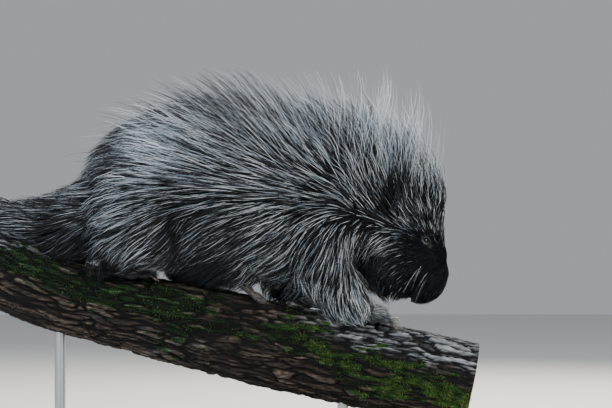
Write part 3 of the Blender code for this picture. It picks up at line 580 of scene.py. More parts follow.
# how hair leaves the skin and bends with the coat
growth = {
    "steps": 12,
    "steepest": 0.96,
    "mostLift": 1.35,  # radians
    "settle": 0.4,  # share of its length over which a hair levels out
    "back": (-1.0, 0.0, 0.2),  # where the coat's lie points into the skin
    "keep": 0.45,  # share of the heading kept at each step
    "root": 0.45,  # share of the flow at the root in the flow followed
    "spread": 1.2,
}


def alongSkin(ways, out, weakWay):
    # ways laid on the skin, and another way where they point straight through it
    laid = ways - out * (ways * out).sum(1, keepdims=True)
    weak = np.linalg.norm(laid, axis=1) < 0.3
    laid[weak] = (weakWay - out * (weakWay * out).sum(1, keepdims=True))[weak]
    return unit(laid)


def growGuides(surface, roots, normals, stretch=1.0, raiseBy=1.0, wild=0.0):
    # lines that rise off the skin and then bend with the lie of the coat as they pass over it
    tree, steps, keep, root = surface["tree"], growth["steps"], growth["keep"], growth["root"]
    flow, lengths, lifts = coatLie(roots)
    lengths = lengths * stretch * cm
    lifts = np.minimum(lifts * raiseBy, growth["mostLift"])
    heading = alongSkin(flow, normals, np.array(growth["back"]))
    heading = unit(heading * np.cos(lifts)[:, None] + normals * np.sin(lifts)[:, None])
    straight = heading.copy()
    height = lengths * np.sin(lifts)
    steepest = np.minimum(growth["steepest"], 0.25 + np.sin(lifts))
    lines = np.empty((len(roots), steps + 1, 3))
    lines[:, 0] = roots
    for step in range(steps):
        spots = lines[:, step]
        found = [tree.find_nearest(spot)[:2] for spot in spots]
        near, out = (np.array([pair[k] for pair in found]) for k in range(2))
        over = ((spots - near) * out).sum(1)
        climb = np.clip((height - over) / (growth["settle"] * lengths), -0.25, steepest)[:, None]
        aim = unit(root * flow + (1 - root) * coatLie(spots)[0])
        wanted = alongSkin(aim, out, heading) * np.sqrt(1 - climb ** 2) + out * climb
        heading = unit(heading * keep + (wanted * (1 - wild) + straight * wild) * (1 - keep))
        lines[:, step + 1] = spots + heading * (lengths / steps)[:, None]
    return {"roots": roots, "normals": normals, "lines": lines}


def nearTree(spots):
    tree = KDTree(len(spots))
    for i, spot in enumerate(spots):
        tree.insert(spot, i)
    tree.balance()
    return tree


def followGuides(guides, roots, normals):
    # each root's line is a blend of the nearest guides on its own side of the skin
    moves = guides["lines"] - guides["lines"][:, :1]
    tree = nearTree(guides["roots"])
    found = np.array([[(i, far) for _, i, far in tree.find_n(spot, 6)] for spot in roots])
    index, far = found[..., 0].astype(int), found[..., 1]
    same = (guides["normals"][index] * normals[:, None]).sum(-1)
    weight = np.exp(-(far / (growth["spread"] * cm)) ** 2) * np.clip(same, 0.02, 1) ** 2 + 1e-9
    weight /= weight.sum(1, keepdims=True)
    return (moves[index] * weight[..., None, None]).sum(1)


# where hair may reach, in cm, with the share of what goes further that is left
limits = {"high": 59.5, "wide": 13.3, "past": 0.35, "overBark": 0.15, "overEye": 0.12}


def clearOfBough(points, gap):
    # moves points away from the middle of the bough until they clear its radius by the gap
    centres, radii = boughAt(points[..., 0] / cm)
    dy, dz = points[..., 1], points[..., 2] - centres * cm
    far = np.hypot(dy, dz)
    room = (radii + gap) * cm
    scale = np.where(far < room, room / np.maximum(far, 1e-6), 1.0)
    points[..., 1] = dy * scale
    points[..., 2] = dz * scale + centres * cm


def keepOut(paths):
    # bends what would run into the bough or the eyes, or stand too high or too wide
    high, wide, share = limits["high"] * cm, limits["wide"] * cm, limits["past"]
    paths[..., 2] = np.where(paths[..., 2] > high, high + (paths[..., 2] - high) * share, paths[..., 2])
    past = np.abs(paths[..., 1]) - wide
    paths[..., 1] = np.where(past > 0, np.sign(paths[..., 1]) * (wide + past * share), paths[..., 1])
    clearOfBough(paths, limits["overBark"])
    for side in (1, -1):
        centre = mirrored(eye["centre"], side) * cm
        away = paths - centre
        far = np.linalg.norm(away, axis=-1, keepdims=True)
        room = (eye["radius"] + limits["overEye"]) * cm
        paths[:] = np.where(far < room, centre + away / np.maximum(far, 1e-6) * room, paths)
    return paths


def offTheEyes(paths):
    # true for each hair that leaves both eyes open
    clear = np.ones(len(paths), bool)
    for side in (1, -1):
        front = mirrored(eye["centre"], side) + unit(mirrored(eye["outward"], side)) * 0.7
        clear &= (np.linalg.norm(paths - front * cm, axis=-1) > 0.74 * cm).all(1)
    return clear


def hairPaths(guides, roots, normals, look):
    # lines of the hairs themselves, with their clumps, waves and uneven lengths
    count = len(roots)
    moves = followGuides(guides, roots, normals)
    steps = moves.shape[1] - 1
    share = np.linspace(0, 1, look["rings"])
    length = look["length"] * (1 + look["uneven"] * (dice.random(count) * 2 - 1.2))
    places = share[None] * np.ones((count, 1)) * steps
    low = np.minimum(places.astype(int), steps - 1)
    t = (places - low)[..., None]
    rows = np.arange(count)[:, None]
    lines = moves[rows, low] * (1 - t) + moves[rows, low + 1] * t
    lines = lines * length[:, None, None]
    reach = np.linalg.norm(lines[:, -1], axis=1)
    along = unit(lines[:, -1])
    across = unit(np.cross(along, normals))
    up = np.cross(across, along)
    bend = (dice.random((count, 2)) * 2 - 1) * look["wander"]
    wave = dice.random(count) * 6.28
    ripple = np.sin(share[None] * 3.0 + wave[:, None]) - np.sin(wave)[:, None]
    lines += (across[:, None] * (bend[:, :1, None] * share[None, :, None] ** 1.6
                                 + look["ripple"] * ripple[..., None] * share[None, :, None])
              + up[:, None] * bend[:, 1:, None] * share[None, :, None] ** 2 * 0.6) * reach[:, None, None]
    lines += roots[:, None]
    if look["clump"] > 0:
        # hairs lean together towards the tip of one of their neighbours
        heads = dice.choice(count, max(8, int(count / look["perClump"])), replace=False)
        tree = nearTree(roots[heads])
        chosen = heads[np.array([tree.find(spot)[1] for spot in roots])]
        near = np.linalg.norm(roots - roots[chosen], axis=1) < 2.2 * cm
        facing = (normals * normals[chosen]).sum(1) > 0.3
        pull = look["clump"] * (0.5 + 0.5 * dice.random(count)) * near * facing
        pull = pull[:, None] * share[None] ** 1.3
        lines = lines * (1 - pull[..., None]) + lines[chosen] * pull[..., None]
    return keepOut(lines)


def hairMesh(name, paths, normals, width, taper, flat, marks):
    # closed three-sided tapered strands as one mesh
    count, rings = paths.shape[:2]
    shaft = rings - 1
    along = unit(np.gradient(paths, axis=1))
    side = unit(np.cross(along, normals[:, None]))
    up = np.cross(side, along)
    turn = 2 * math.pi * np.arange(3) / 3
    reach = (width[:, None] * np.array(taper[:shaft])[None] / 2)[..., None, None]
    circle = (side[:, :shaft, None] * np.cos(turn)[None, None, :, None]
              + up[:, :shaft, None] * np.sin(turn)[None, None, :, None])
    ring = paths[:, :shaft, None] + circle * reach
    points = np.concatenate([ring.reshape(count, shaft * 3, 3), paths[:, -1:]], axis=1)
    size = shaft * 3 + 1
    faces, starts, at = [], [], 0
    for j in range(shaft - 1):
        for k in range(3):
            n = (k + 1) % 3
            faces += [j * 3 + k, j * 3 + n, j * 3 + 3 + n, j * 3 + 3 + k]
            starts.append(at)
            at += 4
    for k in range(3):
        faces += [(shaft - 1) * 3 + k, (shaft - 1) * 3 + (k + 1) % 3, size - 1]
        starts.append(at)
        at += 3
    faces += [2, 1, 0]
    starts.append(at)
    at += 3
    faces, starts = np.array(faces), np.array(starts)
    mesh = bpy.data.meshes.new(name)
    mesh.vertices.add(count * size)
    mesh.vertices.foreach_set("co", points.astype(np.float32).ravel())
    mesh.loops.add(count * at)
    order = (faces[None] + (np.arange(count) * size)[:, None]).ravel()
    mesh.loops.foreach_set("vertex_index", order.astype(np.int32))
    mesh.polygons.add(count * len(starts))
    mesh.polygons.foreach_set("loop_start", (starts[None] + (np.arange(count) * at)[:, None]).ravel().astype(np.int32))
    mesh.update(calc_edges=True)
    mesh.shade_smooth()
    share = np.concatenate([np.repeat(np.linspace(0, 1, rings)[:shaft], 3), [1.0]])
    spin = np.concatenate([np.tile(np.arange(3) / 2, shaft), [0.5]])
    patch = flat[:, None] + np.stack([share - 0.5, spin - 0.5], 1)[None] * 0.003
    layer = mesh.uv_layers.new(name="OFBake")
    layer.data.foreach_set("uv", np.clip(patch.reshape(-1, 2)[order], 0, 1).astype(np.float32).ravel())
    made = newObject(name, mesh)
    setMark(made, "along", np.tile(share, count))
    for key, values in marks.items():
        setMark(made, key, np.repeat(values, size))
    return made


# the bough, in cm
bough = {
    # x, height of its centre, radius
    "rows": ((-38.7, 32.6, 5.4), (-29.7, 30.5, 5.7), (-21.3, 27.1, 5.6), (-12.8, 24.7, 5.5),
             (-1.5, 22.2, 6.1), (11.6, 19.2, 6.4), (25.4, 16.4, 6.5), (38.4, 13.6, 6.5)),
    "rings": 340,
    "around": 244,
    "ridge": 0.62,  # depth of the furrows
    "moss": 0.12,
    # plates and flakes: how many to a cm along and across, and how wide the furrows between them
    "scales": ((0.19, 1.3, 0.02, 0.24), (0.55, 2.9, 0.02, 0.3)),
    "marks": ("ridge", "moss", "worn", "fresh"),
    "endBulge": 0.12,
    "twig": ((9.6, -1.8, 24.6), (7.6, -2.2, 26.6), (4.6, -2.75, 29.0), (2.0, -3.2, 31.2)),
    "twigRadii": (0.78, 0.6, 0.5, 0.42),
}
boughLine = splineRows(bough["rows"], 120)


def boughAt(x):
    return np.interp(x, boughLine[:, 0], boughLine[:, 1]), np.interp(x, boughLine[:, 0], boughLine[:, 2])


def boughMaterial():
    # weathered bark: brown plates, silvery where the air wears them, moss over the plates; the near-black furrows are
    # darker bark with painted shade in the recesses
    made = newMaterial("oak bark, rough and furrowed, with moss")
    ridge, moss, worn, fresh = (markNode(made, mark) for mark in bough["marks"])
    grain = noiseNode(made, 1.0, 7.0, Vector=spotNode(made, (70.0, 420.0, 420.0), -13), Roughness=0.7,
                      Distortion=0.6)
    height = mathNode(made, "ADD", ridge, rangeNode(made, grain, 0.34, 0.66, -0.22, 0.22))
    # both ramps go near black as the relief height drops: darker bark down in the furrows, with painted shade there
    bark = rampNode(made, height, (0.14, "#030202"), (0.34, "#15100d"), (0.56, "#2f2620"), (0.76, "#4d4239"),
                    (1.0, "#786d62"))
    silver = rampNode(made, height, (0.16, "#050505"), (0.34, "#222326"), (0.54, "#5f6266"), (0.76, "#8d9194"),
                      (1.0, "#b4b7b8"))
    aired = mixNode(made, worn, bark, silver)
    leaf = noiseNode(made, 520.0, 4.0, Vector=spotNode(made), Roughness=0.7)
    lit = mathNode(made, "MULTIPLY", leaf, height)
    dull = rampNode(made, lit, (0.08, "#040603"), (0.24, "#0f1c0c"), (0.4, "#23401c"), (0.56, "#52724a"),
                    (0.7, "#93a98f"))
    young = rampNode(made, lit, (0.08, "#050a03"), (0.24, "#17300c"), (0.4, "#356018"), (0.56, "#6d942e"),
                     (0.7, "#9cb85a"))
    patchy = mathNode(made, "MULTIPLY_ADD", leaf, 0.7, moss)
    grown = rangeNode(made, patchy, 0.62, 0.86, kind="SMOOTHSTEP")
    colour = mixNode(made, grown, aired, mixNode(made, fresh, dull, young))
    relief = bumpNode(made, leaf, 0.7, 0.0015, over=bumpNode(made, height, 1.0, 0.003))
    return finishMaterial(made, Base_Color=colour, Roughness=rangeNode(made, grown, 0.0, 1.0, 0.7, 0.95),
                          Normal=relief, Specular_IOR_Level=0.25)


def endGrainMaterial():
    # sawn wood: growth rings round the pith, and the dark rim of the bark
    made = newMaterial("sawn oak end, dry growth rings")
    ring = markNode(made, "ring")
    drift = noiseNode(made, 35.0, 3.0, Vector=spotNode(made))
    wave = mathNode(made, "MULTIPLY", mathNode(made, "MULTIPLY_ADD", drift, 0.35, ring), 110.0)
    fibre = noiseNode(made, 700.0, Vector=spotNode(made))
    both = mathNode(made, "MULTIPLY_ADD", mathNode(made, "SINE", wave), 0.25, fibre)
    wood = rampNode(made, both, (0.2, "#43352a"), (0.5, "#77644f"), (0.8, "#a08c72"))
    rim = rampNode(made, ring, (0.86, 0.0), (0.93, 1.0))
    return finishMaterial(made, Base_Color=mixNode(made, rim, wood, linearColour("#2b2019")), Roughness=0.8,
                          Normal=bumpNode(made, both, 0.4, 0.0008))


def barkHeight(x, c, s, radius):
    # long scaly plates, each at its own level, with flakes on them and deep furrows between
    bend = noise.noise_vector(Vector((x * 0.22, c * 2.0, s * 2.0)))
    heights = []
    for long, wide, low, high in bough["scales"]:
        far, cells = noise.voronoi(Vector((x * long + bend.x * 0.7, c * radius * wide + bend.y * 0.9,
                                           s * radius * wide + bend.z * 0.9)))
        level = 0.72 + 0.28 * noise.cell(cells[0] * 3.7)
        heights.append(float(smoothStep(low, high, far[1] - far[0])) * level)
    return 0.66 * heights[0] + 0.34 * heights[1] * (0.35 + 0.65 * heights[0])


def mossShares(x, c, s):
    # moss keeps to a band on the near and upper side, lower and fresher towards the fore end, where the top is worn
    fore = float(smoothStep(8.0, 24.0, x))
    broad = noise.fractal(Vector((x * 0.08, c * 1.3, s * 1.3 + 7)), 1.0, 2.0, 3)
    streak = noise.noise(Vector((x * 0.28, c * 7.5, s * 7.5)))
    fine = noise.noise(Vector((x * 1.1, c * 15, s * 15 + 3)))
    side = 1.0 if c < 0 else 0.75
    band = side * math.exp(-((s - (0.42 - 0.6 * fore)) / (0.52 - 0.06 * fore)) ** 2)
    moss = float(smoothStep(0.22, 0.56, 0.55 * band + 0.3 * broad + 0.42 * streak + 0.22 * fine - 0.04 * fore))
    fresh = float(smoothStep(-4.0, 26.0, x)) * float(smoothStep(-0.35, 0.3, broad + 0.8 * streak + 0.1))
    aired = float(smoothStep(0.15, 0.6, s + 0.25 * streak)) * (fore + float(smoothStep(-22.0, -30.0, x)) * 0.8)
    return moss, fresh, min(1.0, aired + 0.12 * float(smoothStep(0.1, 0.5, broad)))


def makeBough():
    rings, around = bough["rings"], bough["around"]
    rows = splineRows(bough["rows"], rings)
    centres = np.stack([rows[:, 0], rows[:, 0] * 0, rows[:, 1]], 1)
    along = unit(np.gradient(centres, axis=0))
    up = np.cross(along, np.array([0.0, 1.0, 0.0]))
    turn = 2 * math.pi * np.arange(around) / around
    points = np.empty((rings, around, 3))
    marks = np.empty((len(bough["marks"]), rings, around))
    for i in range(rings):
        x, radius = rows[i, 0], rows[i, 2]
        for k in range(around):
            c, s = math.cos(turn[k]), math.sin(turn[k])
            lump = noise.noise(Vector((x * 0.09, c * 1.1, s * 1.1 + 4)))
            rise = barkHeight(x, c, s, radius)
            moss, fresh, worn = mossShares(x, c, s)
            clump = noise.noise(Vector((x * 1.6, c * radius * 1.6, s * radius * 1.6)))
            reach = (radius * (0.985 + 0.035 * lump) + bough["ridge"] * (rise - 0.6)
                     + moss * bough["moss"] * (0.6 + 0.8 * clump))
            points[i, k] = centres[i] + (np.array([0, c, 0]) + up[i] * s) * reach
            marks[:, i, k] = rise, moss, worn, fresh
    index = np.arange(rings * around).reshape(rings, around)
    quads = np.stack([index[:-1], np.roll(index[:-1], -1, 1), np.roll(index[1:], -1, 1), index[1:]], -1)
    made = meshObject("bough", points.reshape(-1, 3) * cm, quads.reshape(-1, 4)[:, ::-1])
    flipOut(made)
    for mark, values in zip(bough["marks"], marks):
        setMark(made, mark, values.ravel())
    made.data.shade_smooth()
    layer = made.data.uv_layers.new(name="OFBake")
    loops = np.empty(len(made.data.loops), np.int32)
    made.data.loops.foreach_get("vertex_index", loops)
    u = loops // around / (rings - 1)
    v = (loops % around) / around
    seam = np.repeat(v.reshape(-1, 4).max(1) - v.reshape(-1, 4).min(1) > 0.5, 4) & (v < 0.5)
    layer.data.foreach_set("uv", np.stack([u * 0.98 + 0.01, np.where(seam, v + 1, v) * 0.97 + 0.01], 1).ravel())
    ends = []
    for name, i in (("bough_end_rear", 0), ("bough_end_front", rings - 1)):
        ends.append(makeSawnEnd(name, points[i], centres[i], along[i] * (1 if i else -1)))
    return made, ends


def makeSawnEnd(name, rim, centre, outward):
    # the sawn face of the bough, a little dished towards its edge
    steps, count = 14, len(rim)
    points, faces = [], []
    for j in range(steps + 1):
        t = 1 - j / steps
        bulge = bough["endBulge"] * math.sqrt(max(0.0, 1 - t ** 6))
        points += [(centre + (p - centre) * t * (1.0 if j else 0.999) + outward * bulge) * cm for p in rim]
    for j in range(steps):
        for k in range(count):
            n = (k + 1) % count
            faces.append((j * count + k, j * count + n, (j + 1) * count + n, (j + 1) * count + k))
    made = meshObject(name, points, faces)
    work = bmesh.new()
    work.from_mesh(made.data)
    bmesh.ops.remove_doubles(work, verts=work.verts, dist=1e-5)
    bmesh.ops.recalc_face_normals(work, faces=work.faces)
    if sum(f.normal.dot(Vector(outward)) for f in work.faces) < 0:
        bmesh.ops.reverse_faces(work, faces=work.faces)
    work.to_mesh(made.data)
    work.free()
    reach = np.linalg.norm(rim - centre, axis=1).mean() * cm
    setMark(made, "ring", np.linalg.norm(readPoints(made) - centre * cm, axis=1) / reach)
    made.data.shade_smooth()
    return made


def flipOut(thing):
    work = bmesh.new()
    work.from_mesh(thing.data)
    bmesh.ops.recalc_face_normals(work, faces=work.faces)
    if work.calc_volume(signed=True) < 0:
        bmesh.ops.reverse_faces(work, faces=work.faces)
    work.to_mesh(thing.data)
    work.free()


mossTufts = {"count": 15000, "length": (0.2, 0.85), "width": 0.95, "sunk": 0.8,
             "colours": ((0.0, "#0a1408"), (0.35, "#24451a"), (0.85, "#8fae3e"))}


def growMoss(thing):
    # short upright shoots in cushions, yellower at their tips
    surface = readSurface(thing)
    share, fresh = np.empty((2, len(thing.data.vertices)))
    thing.data.attributes["moss"].data.foreach_get("value", share)
    thing.data.attributes["fresh"].data.foreach_get("value", fresh)
    corner = surface["corners"]
    surface["area"] = surface["area"] * share[corner].mean(1) ** 2 * (0.12 + fresh[corner].mean(1) ** 2)
    count = int(mossTufts["count"] * hairShare)
    roots, normals, flat = scatter(surface, count)
    low, high = mossTufts["length"]
    tint = np.array([noise.noise(Vector(spot) * 60) for spot in roots])
    length = (low + (high - low) * dice.random(count) ** 1.3 * smoothStep(-0.35, 0.35, tint)) * cm
    lean = unit(normals + 0.55 * (dice.random((count, 3)) - 0.5) + np.array([0.1, 0.0, 0.25]))
    share = np.linspace(0, 1, 3)[None, :, None]
    droop = np.array([0.0, 0.0, -1.0]) * 0.25 + (dice.random((count, 3)) - 0.5) * 0.5
    paths = (roots[:, None] - normals[:, None] * mossTufts["sunk"] * mm
             + (lean[:, None] * share + droop[:, None] * share ** 2) * length[:, None, None])
    made = tippedMaterial("feather moss, small soft leaves", *mossTufts["colours"], Roughness=0.75)
    zones = np.digitize(roots[:, 0] / cm, (-10.0, 14.0))
    bright = ((0.25 + 0.75 * dice.random(count))
              * (0.4 + 0.6 * smoothStep(-0.3, 0.35, tint + roots[:, 0] * 0.6)))
    for zone in np.unique(zones):
        here = zones == zone
        width = mossTufts["width"] * mm * (0.7 + 0.6 * dice.random(int(here.sum())))
        piece = hairMesh(f"moss_{zone}", paths[here], normals[here] + 0.3, width, (0.8, 1.0), flat[here],
                         {"shade": bright[here]})
        place(piece, made, "bark")
    print("moss", count, "shoots")


def makeTwig():
    # a dead broken twig, barkless and grey, with a short fork at its tip
    work = bmesh.new()
    rows = splineRows([(*p, r) for p, r in zip(bough["twig"], bough["twigRadii"])], 40)
    wobble = np.array([[noise.noise(Vector((i * 0.35, 2.0 * k, 5.0))) for k in range(3)] for i in range(40)])
    rows[:, :3] += wobble * 0.2
    rows[:, 3] *= 1 + 0.3 * wobble[:, 0]
    loftedTube(work, rows[:, :3], rows[:, 3], rows[:, 3], 14)
    fork = np.linspace(0, 1, 10)[:, None]
    start, end = rows[33, :3], rows[33, :3] + np.array((0.3, 0.5, 1.5))
    loftedTube(work, start + (end - start) * fork, 0.24 - 0.12 * fork[:, 0], 0.24 - 0.12 * fork[:, 0], 8)
    twig = meltTogether("twig", work, 0.09, 2)
    unwrap(twig)
    made = newMaterial("dead oak twig, barkless and weathered grey")
    grain = noiseNode(made, 1.0, 5.0, Vector=spotNode(made, (90.0, 700.0, 700.0), 40))
    finishMaterial(made, Base_Color=rampNode(made, grain, (0.3, "#14110f"), (0.5, "#413b37"), (0.7, "#7c7671")),
                   Roughness=0.75, Normal=bumpNode(made, grain, 0.9, 0.002))
    place(twig, made, "bark")


boughPiece, sawnEnds = makeBough()
place(boughPiece, boughMaterial(), "bark", "perch_bough")
endGrain = endGrainMaterial()
for sawnEnd in sawnEnds:
    unwrap(sawnEnd)
    place(sawnEnd, endGrain, "bark")


growMoss(boughPiece)
makeTwig()
print("bough and moss")


def makeLids():
    # rims of both lids round the eye: dark, with a grey bare edge below and behind
    made = markedMaterial("eyelid rim, bare moist skin", "grey",
                          ((0.0, "#08080a"), (0.5, "#14171c"), (1.0, "#4d5560")), 1100.0, 0.3, 0.0003,
                          Roughness=0.38)
    around, sides = 56, 12
    wide, opening = eye["opening"]
    for name, side in (("lids_left", 1), ("lids_right", -1)):
        outward = Vector(mirrored(eye["outward"], side)).normalized()
        centre = Vector(mirrored(eye["centre"], side)) + outward * 0.3
        turn = outward.to_track_quat("Z", "Y").to_matrix()
        tilt = Matrix.Rotation(math.radians(eye["tilt"] * side), 3, "Z")
        points, faces, greys = [], [], []
        for i in range(around):
            a = 2 * math.pi * i / around
            high = opening * (1.0 if math.sin(a) > 0 else 0.86)
            spot = tilt @ Vector((math.cos(a) * wide, math.sin(a) * high * (1 - 0.22 * math.cos(a) ** 2), 0))
            out = tilt @ Vector((math.cos(a), math.sin(a), 0))
            flat = turn @ spot
            low = flat.z < -0.05 or flat.x < -0.25
            thick = eye["lid"] * eye["lowerLid" if low else "upperLid"]
            dome = -0.32 * (spot.length / wide) ** 2
            for k in range(sides):
                b = 2 * math.pi * k / sides
                p = spot + out * math.cos(b) * thick + Vector((0, 0, 1)) * (math.sin(b) * thick * 1.1 + dome + 0.42)
                points.append((centre + turn @ p) * cm)
                inner = max(0.0, -math.cos(b)) * 0.5 + max(0.0, math.sin(b)) * 0.6
                share = float(smoothStep(0.1, 0.5, -flat.z * 0.8 - flat.x * 0.7))
                greys.append(min(1.0, share * (0.35 + inner)))
                j, n = (i + 1) % around, (k + 1) % sides
                faces.append((i * sides + k, j * sides + k, j * sides + n, i * sides + n))
        rim = meshObject(name, points, faces)
        flipOut(rim)
        setMark(rim, "grey", greys)
        unwrap(rim)
        rim.data.shade_smooth()
        place(rim, made, "eye")


ear = {
    "root": (27.8, 4.7, 39.7), "height": 3.0, "width": 1.9, "cup": 0.7, "lean": 24, "turn": 22, "thick": 0.13,
    "fur": {"count": 1500, "length": 0.75, "width": 0.45, "flow": (-0.35, 0.0, 1.0), "lift": 0.5},
}


def makeEars():
    # small rounded cupped ears, thin skin with fine fur, nearly lost in the coat
    made = speckledMaterial("ear skin, thin and finely haired", 500.0, 3.0, ((0.3, "#0c0b0e"), (0.75, "#272329")),
                            0.4, 0.0004, Roughness=0.6)
    rows, columns = 22, 21
    for name, side in (("ear_left", 1), ("ear_right", -1)):
        points = []
        turn = (Matrix.Rotation(math.radians(-ear["lean"] * side), 3, "X")
                @ Matrix.Rotation(math.radians(-ear["turn"] * side), 3, "Z"))
        root = Vector(mirrored(ear["root"], side))
        for i in range(rows):
            t = i / (rows - 1)
            taper = math.sqrt(max(0.0, 1 - max(0.0, t - 0.28) ** 2 / 0.72 ** 2)) * (0.7 + 0.3 * min(1, t * 3))
            for k in range(columns):
                s = 2 * k / (columns - 1) - 1
                fold = ear["cup"] * (s * s - 0.35) * (1 - 0.5 * t) + 0.12 * math.sin(t * 3.1)
                z = (t - 0.5) * ear["height"] + 0.12 * (1 - s * s)
                points.append((turn @ Vector((s * ear["width"] / 2 * taper + 0.1, fold * side, z)) + root) * cm)
        index = np.arange(rows * columns).reshape(rows, columns)
        faces = np.stack([index[:-1, :-1], index[:-1, 1:], index[1:, 1:], index[1:, :-1]], -1).reshape(-1, 4)
        shell = meshObject(name + "_shell", points, faces.tolist())
        thick = shell.modifiers.new("thick", "SOLIDIFY")
        thick.thickness = ear["thick"] * cm
        thick.offset = 0
        rounded = shell.modifiers.new("rounded", "SUBSURF")
        rounded.levels = rounded.render_levels = 1
        applyModifiers(shell)
        flipOut(shell)
        unwrap(shell)
        shell.data.shade_smooth()
        place(shell, made, "ear_skin", name)
        growShort(name + "_fur", shell, ear["fur"])


furRoot = (0.0, "#08090c")
shortFur = tippedMaterial("short fur, dark and velvety", furRoot, (0.35, "#15171c"), (0.75, "#6d7680"),
                          Roughness=0.45, IOR=1.55)


pawFur = tippedMaterial("hair of the forepaw, frosted to the tips", furRoot, (0.35, "#6d757d"),
                        (0.75, "#f2f6f8"), Roughness=0.45, IOR=1.55)


def growShort(name, thing, look, weightAt=None, material=shortFur):
    # short straight hairs that lean one way over a small piece
    surface = readSurface(thing)
    count = int(look["count"] * hairShare)
    roots, normals, flat = scatter(surface, count, weightAt)
    flow = unit(np.array(look["flow"], float))
    along = flow - normals * (normals @ flow)[:, None]
    lean = unit(unit(along) + normals * look["lift"] + 0.3 * (dice.random((count, 3)) - 0.5))
    length = look["length"] * cm * (0.6 + 0.5 * dice.random(count))
    share = np.linspace(0, 1, 3)[None, :, None]
    droop = unit(along) * 0.25
    paths = roots[:, None] + (lean[:, None] * share + droop[:, None] * share ** 2) * length[:, None, None]
    width = look["width"] * mm * (0.8 + 0.4 * dice.random(count))
    fluff = hairMesh(name, keepOut(paths), normals, width, (1.0, 0.85), flat, {"shade": dice.random(count)})
    place(fluff, material, "coat")


# paws: wrist or ankle, middle of the toe tips, half width, digits
paws = {
    "forepaw_right": ((21.8, -2.9, 24.9), (25.6, -2.2, 23.4), 1.65, 4),
    "forepaw_left": ((12.6, 2.9, 26.9), (16.4, 2.2, 25.4), 1.65, 4),
    "hindpaw_right": ((-13.6, -3.0, 31.0), (-8.8, -2.3, 29.9), 1.7, 5),
    "hindpaw_left": ((-4.6, 3.0, 29.8), (0.4, 2.3, 28.9), 1.7, 5),
}
claw = {"length": 1.9, "radius": 0.25, "bend": 0.108, "steps": 10, "sides": 12}
pawHair = {"count": 2200, "width": 0.6, "lift": 0.3}


def growClaw(work, line, heading):
    # one curved tapered claw, with the share of its length at each point
    for _ in range(claw["steps"]):
        heading = unit(heading + np.array((0, 0, -claw["bend"])))
        line.append(line[-1] + heading * claw["length"] / claw["steps"])
    share = np.linspace(0, 1, claw["steps"] + 1)
    radius = claw["radius"] * (1 - 0.9 * share ** 1.7)
    loftedTube(work, line, radius, radius * 0.72, claw["sides"])
    return list(np.repeat(share, claw["sides"]))


def makePaws():
    # pebbled sole skin below, short fur above, and long curved claws
    hide = newMaterial("paw skin, pebbled and leathery")
    pebble = addNode(hide, "TexVoronoi", {"Scale": 900.0}).outputs["Distance"]
    colour = rampNode(hide, noiseNode(hide, 250.0, 3.0), (0.3, "#121013"), (0.75, "#302c31"))
    finishMaterial(hide, Base_Color=colour, Roughness=0.5, Normal=bumpNode(hide, pebble, 0.6, 0.0006, invert=True))
    horn = markedMaterial("claw horn, keratin worn at the tip", "along",
                          ((0.0, "#191513"), (0.6, "#2f2822"), (0.95, "#7d7060")), 1500.0, 0.25, 0.0002,
                          Roughness=0.3, IOR=1.55)
    for name, (wrist, toes, half, digits) in paws.items():
        wrist, toes = np.array(wrist), np.array(toes)
        along = unit(toes - wrist)
        across = unit(np.cross((0.0, 0.0, 1.0), along))
        span = np.linalg.norm(toes - wrist)
        work = bmesh.new()
        roundMass(work, wrist * 0.45 + toes * 0.55, (span * 0.5, half, 1.15))
        roundMass(work, wrist + (0.2, 0, 0.3), (1.6, 1.45, 1.55))
        for pad in (-0.55, 0.55):
            roundMass(work, wrist * 0.35 + toes * 0.65 + across * pad * half - (0, 0, 0.55), (1.0, 0.62, 0.6))
        nails = bmesh.new()
        shares = []
        for k in range(digits):
            spread = (k - (digits - 1) / 2) / ((digits - 1) / 2)
            tip = toes + across * spread * half * 0.82 + along * (0.45 - 0.5 * spread * spread)
            out = unit(along + across * spread * 0.28 + (0, 0, 0.12))
            roundMass(work, tip - out * 0.75, (0.95, 0.46, 0.6))
            roundMass(work, tip + out * 0.15, (0.72, 0.42, 0.5))
            roundMass(work, tip + out * 0.1 - (0, 0, 0.28), (0.5, 0.36, 0.3))
            shares += growClaw(nails, [tip + out * 0.35 + (0, 0, 0.1)], out)
        paw = meltTogether(name + "_skin", work, 0.12, 3)
        restOnBough(paw)
        unwrap(paw)
        place(paw, hide, "paw_skin", name)
        bmesh.ops.recalc_face_normals(nails, faces=nails.faces)
        claws = fromWork(name + "_claws", nails)
        setMark(claws, "along", shares)
        restOnBough(claws)
        unwrap(claws)
        claws.data.shade_smooth()
        place(claws, horn, "paw_skin")
        fore = name.startswith("fore")
        look = dict(pawHair, length=1.5 if fore else 1.3, flow=tuple(along))
        growShort(name + "_fur", paw, look, onTop, pawFur if fore else shortFur)


def onTop(points, normals):
    return np.clip(normals[:, 2] + 0.25, 0, 1) + 1e-6


def restOnBough(thing):
    # lifts what would sink into the bark by more than half a millimetre
    points = readPoints(thing)
    clearOfBough(points, -0.05)
    writePoints(thing, points)


whiskers = {"count": 18, "length": 4.6, "width": 0.26, "rings": 8, "curl": (0.0175, 0.0, -0.175)}


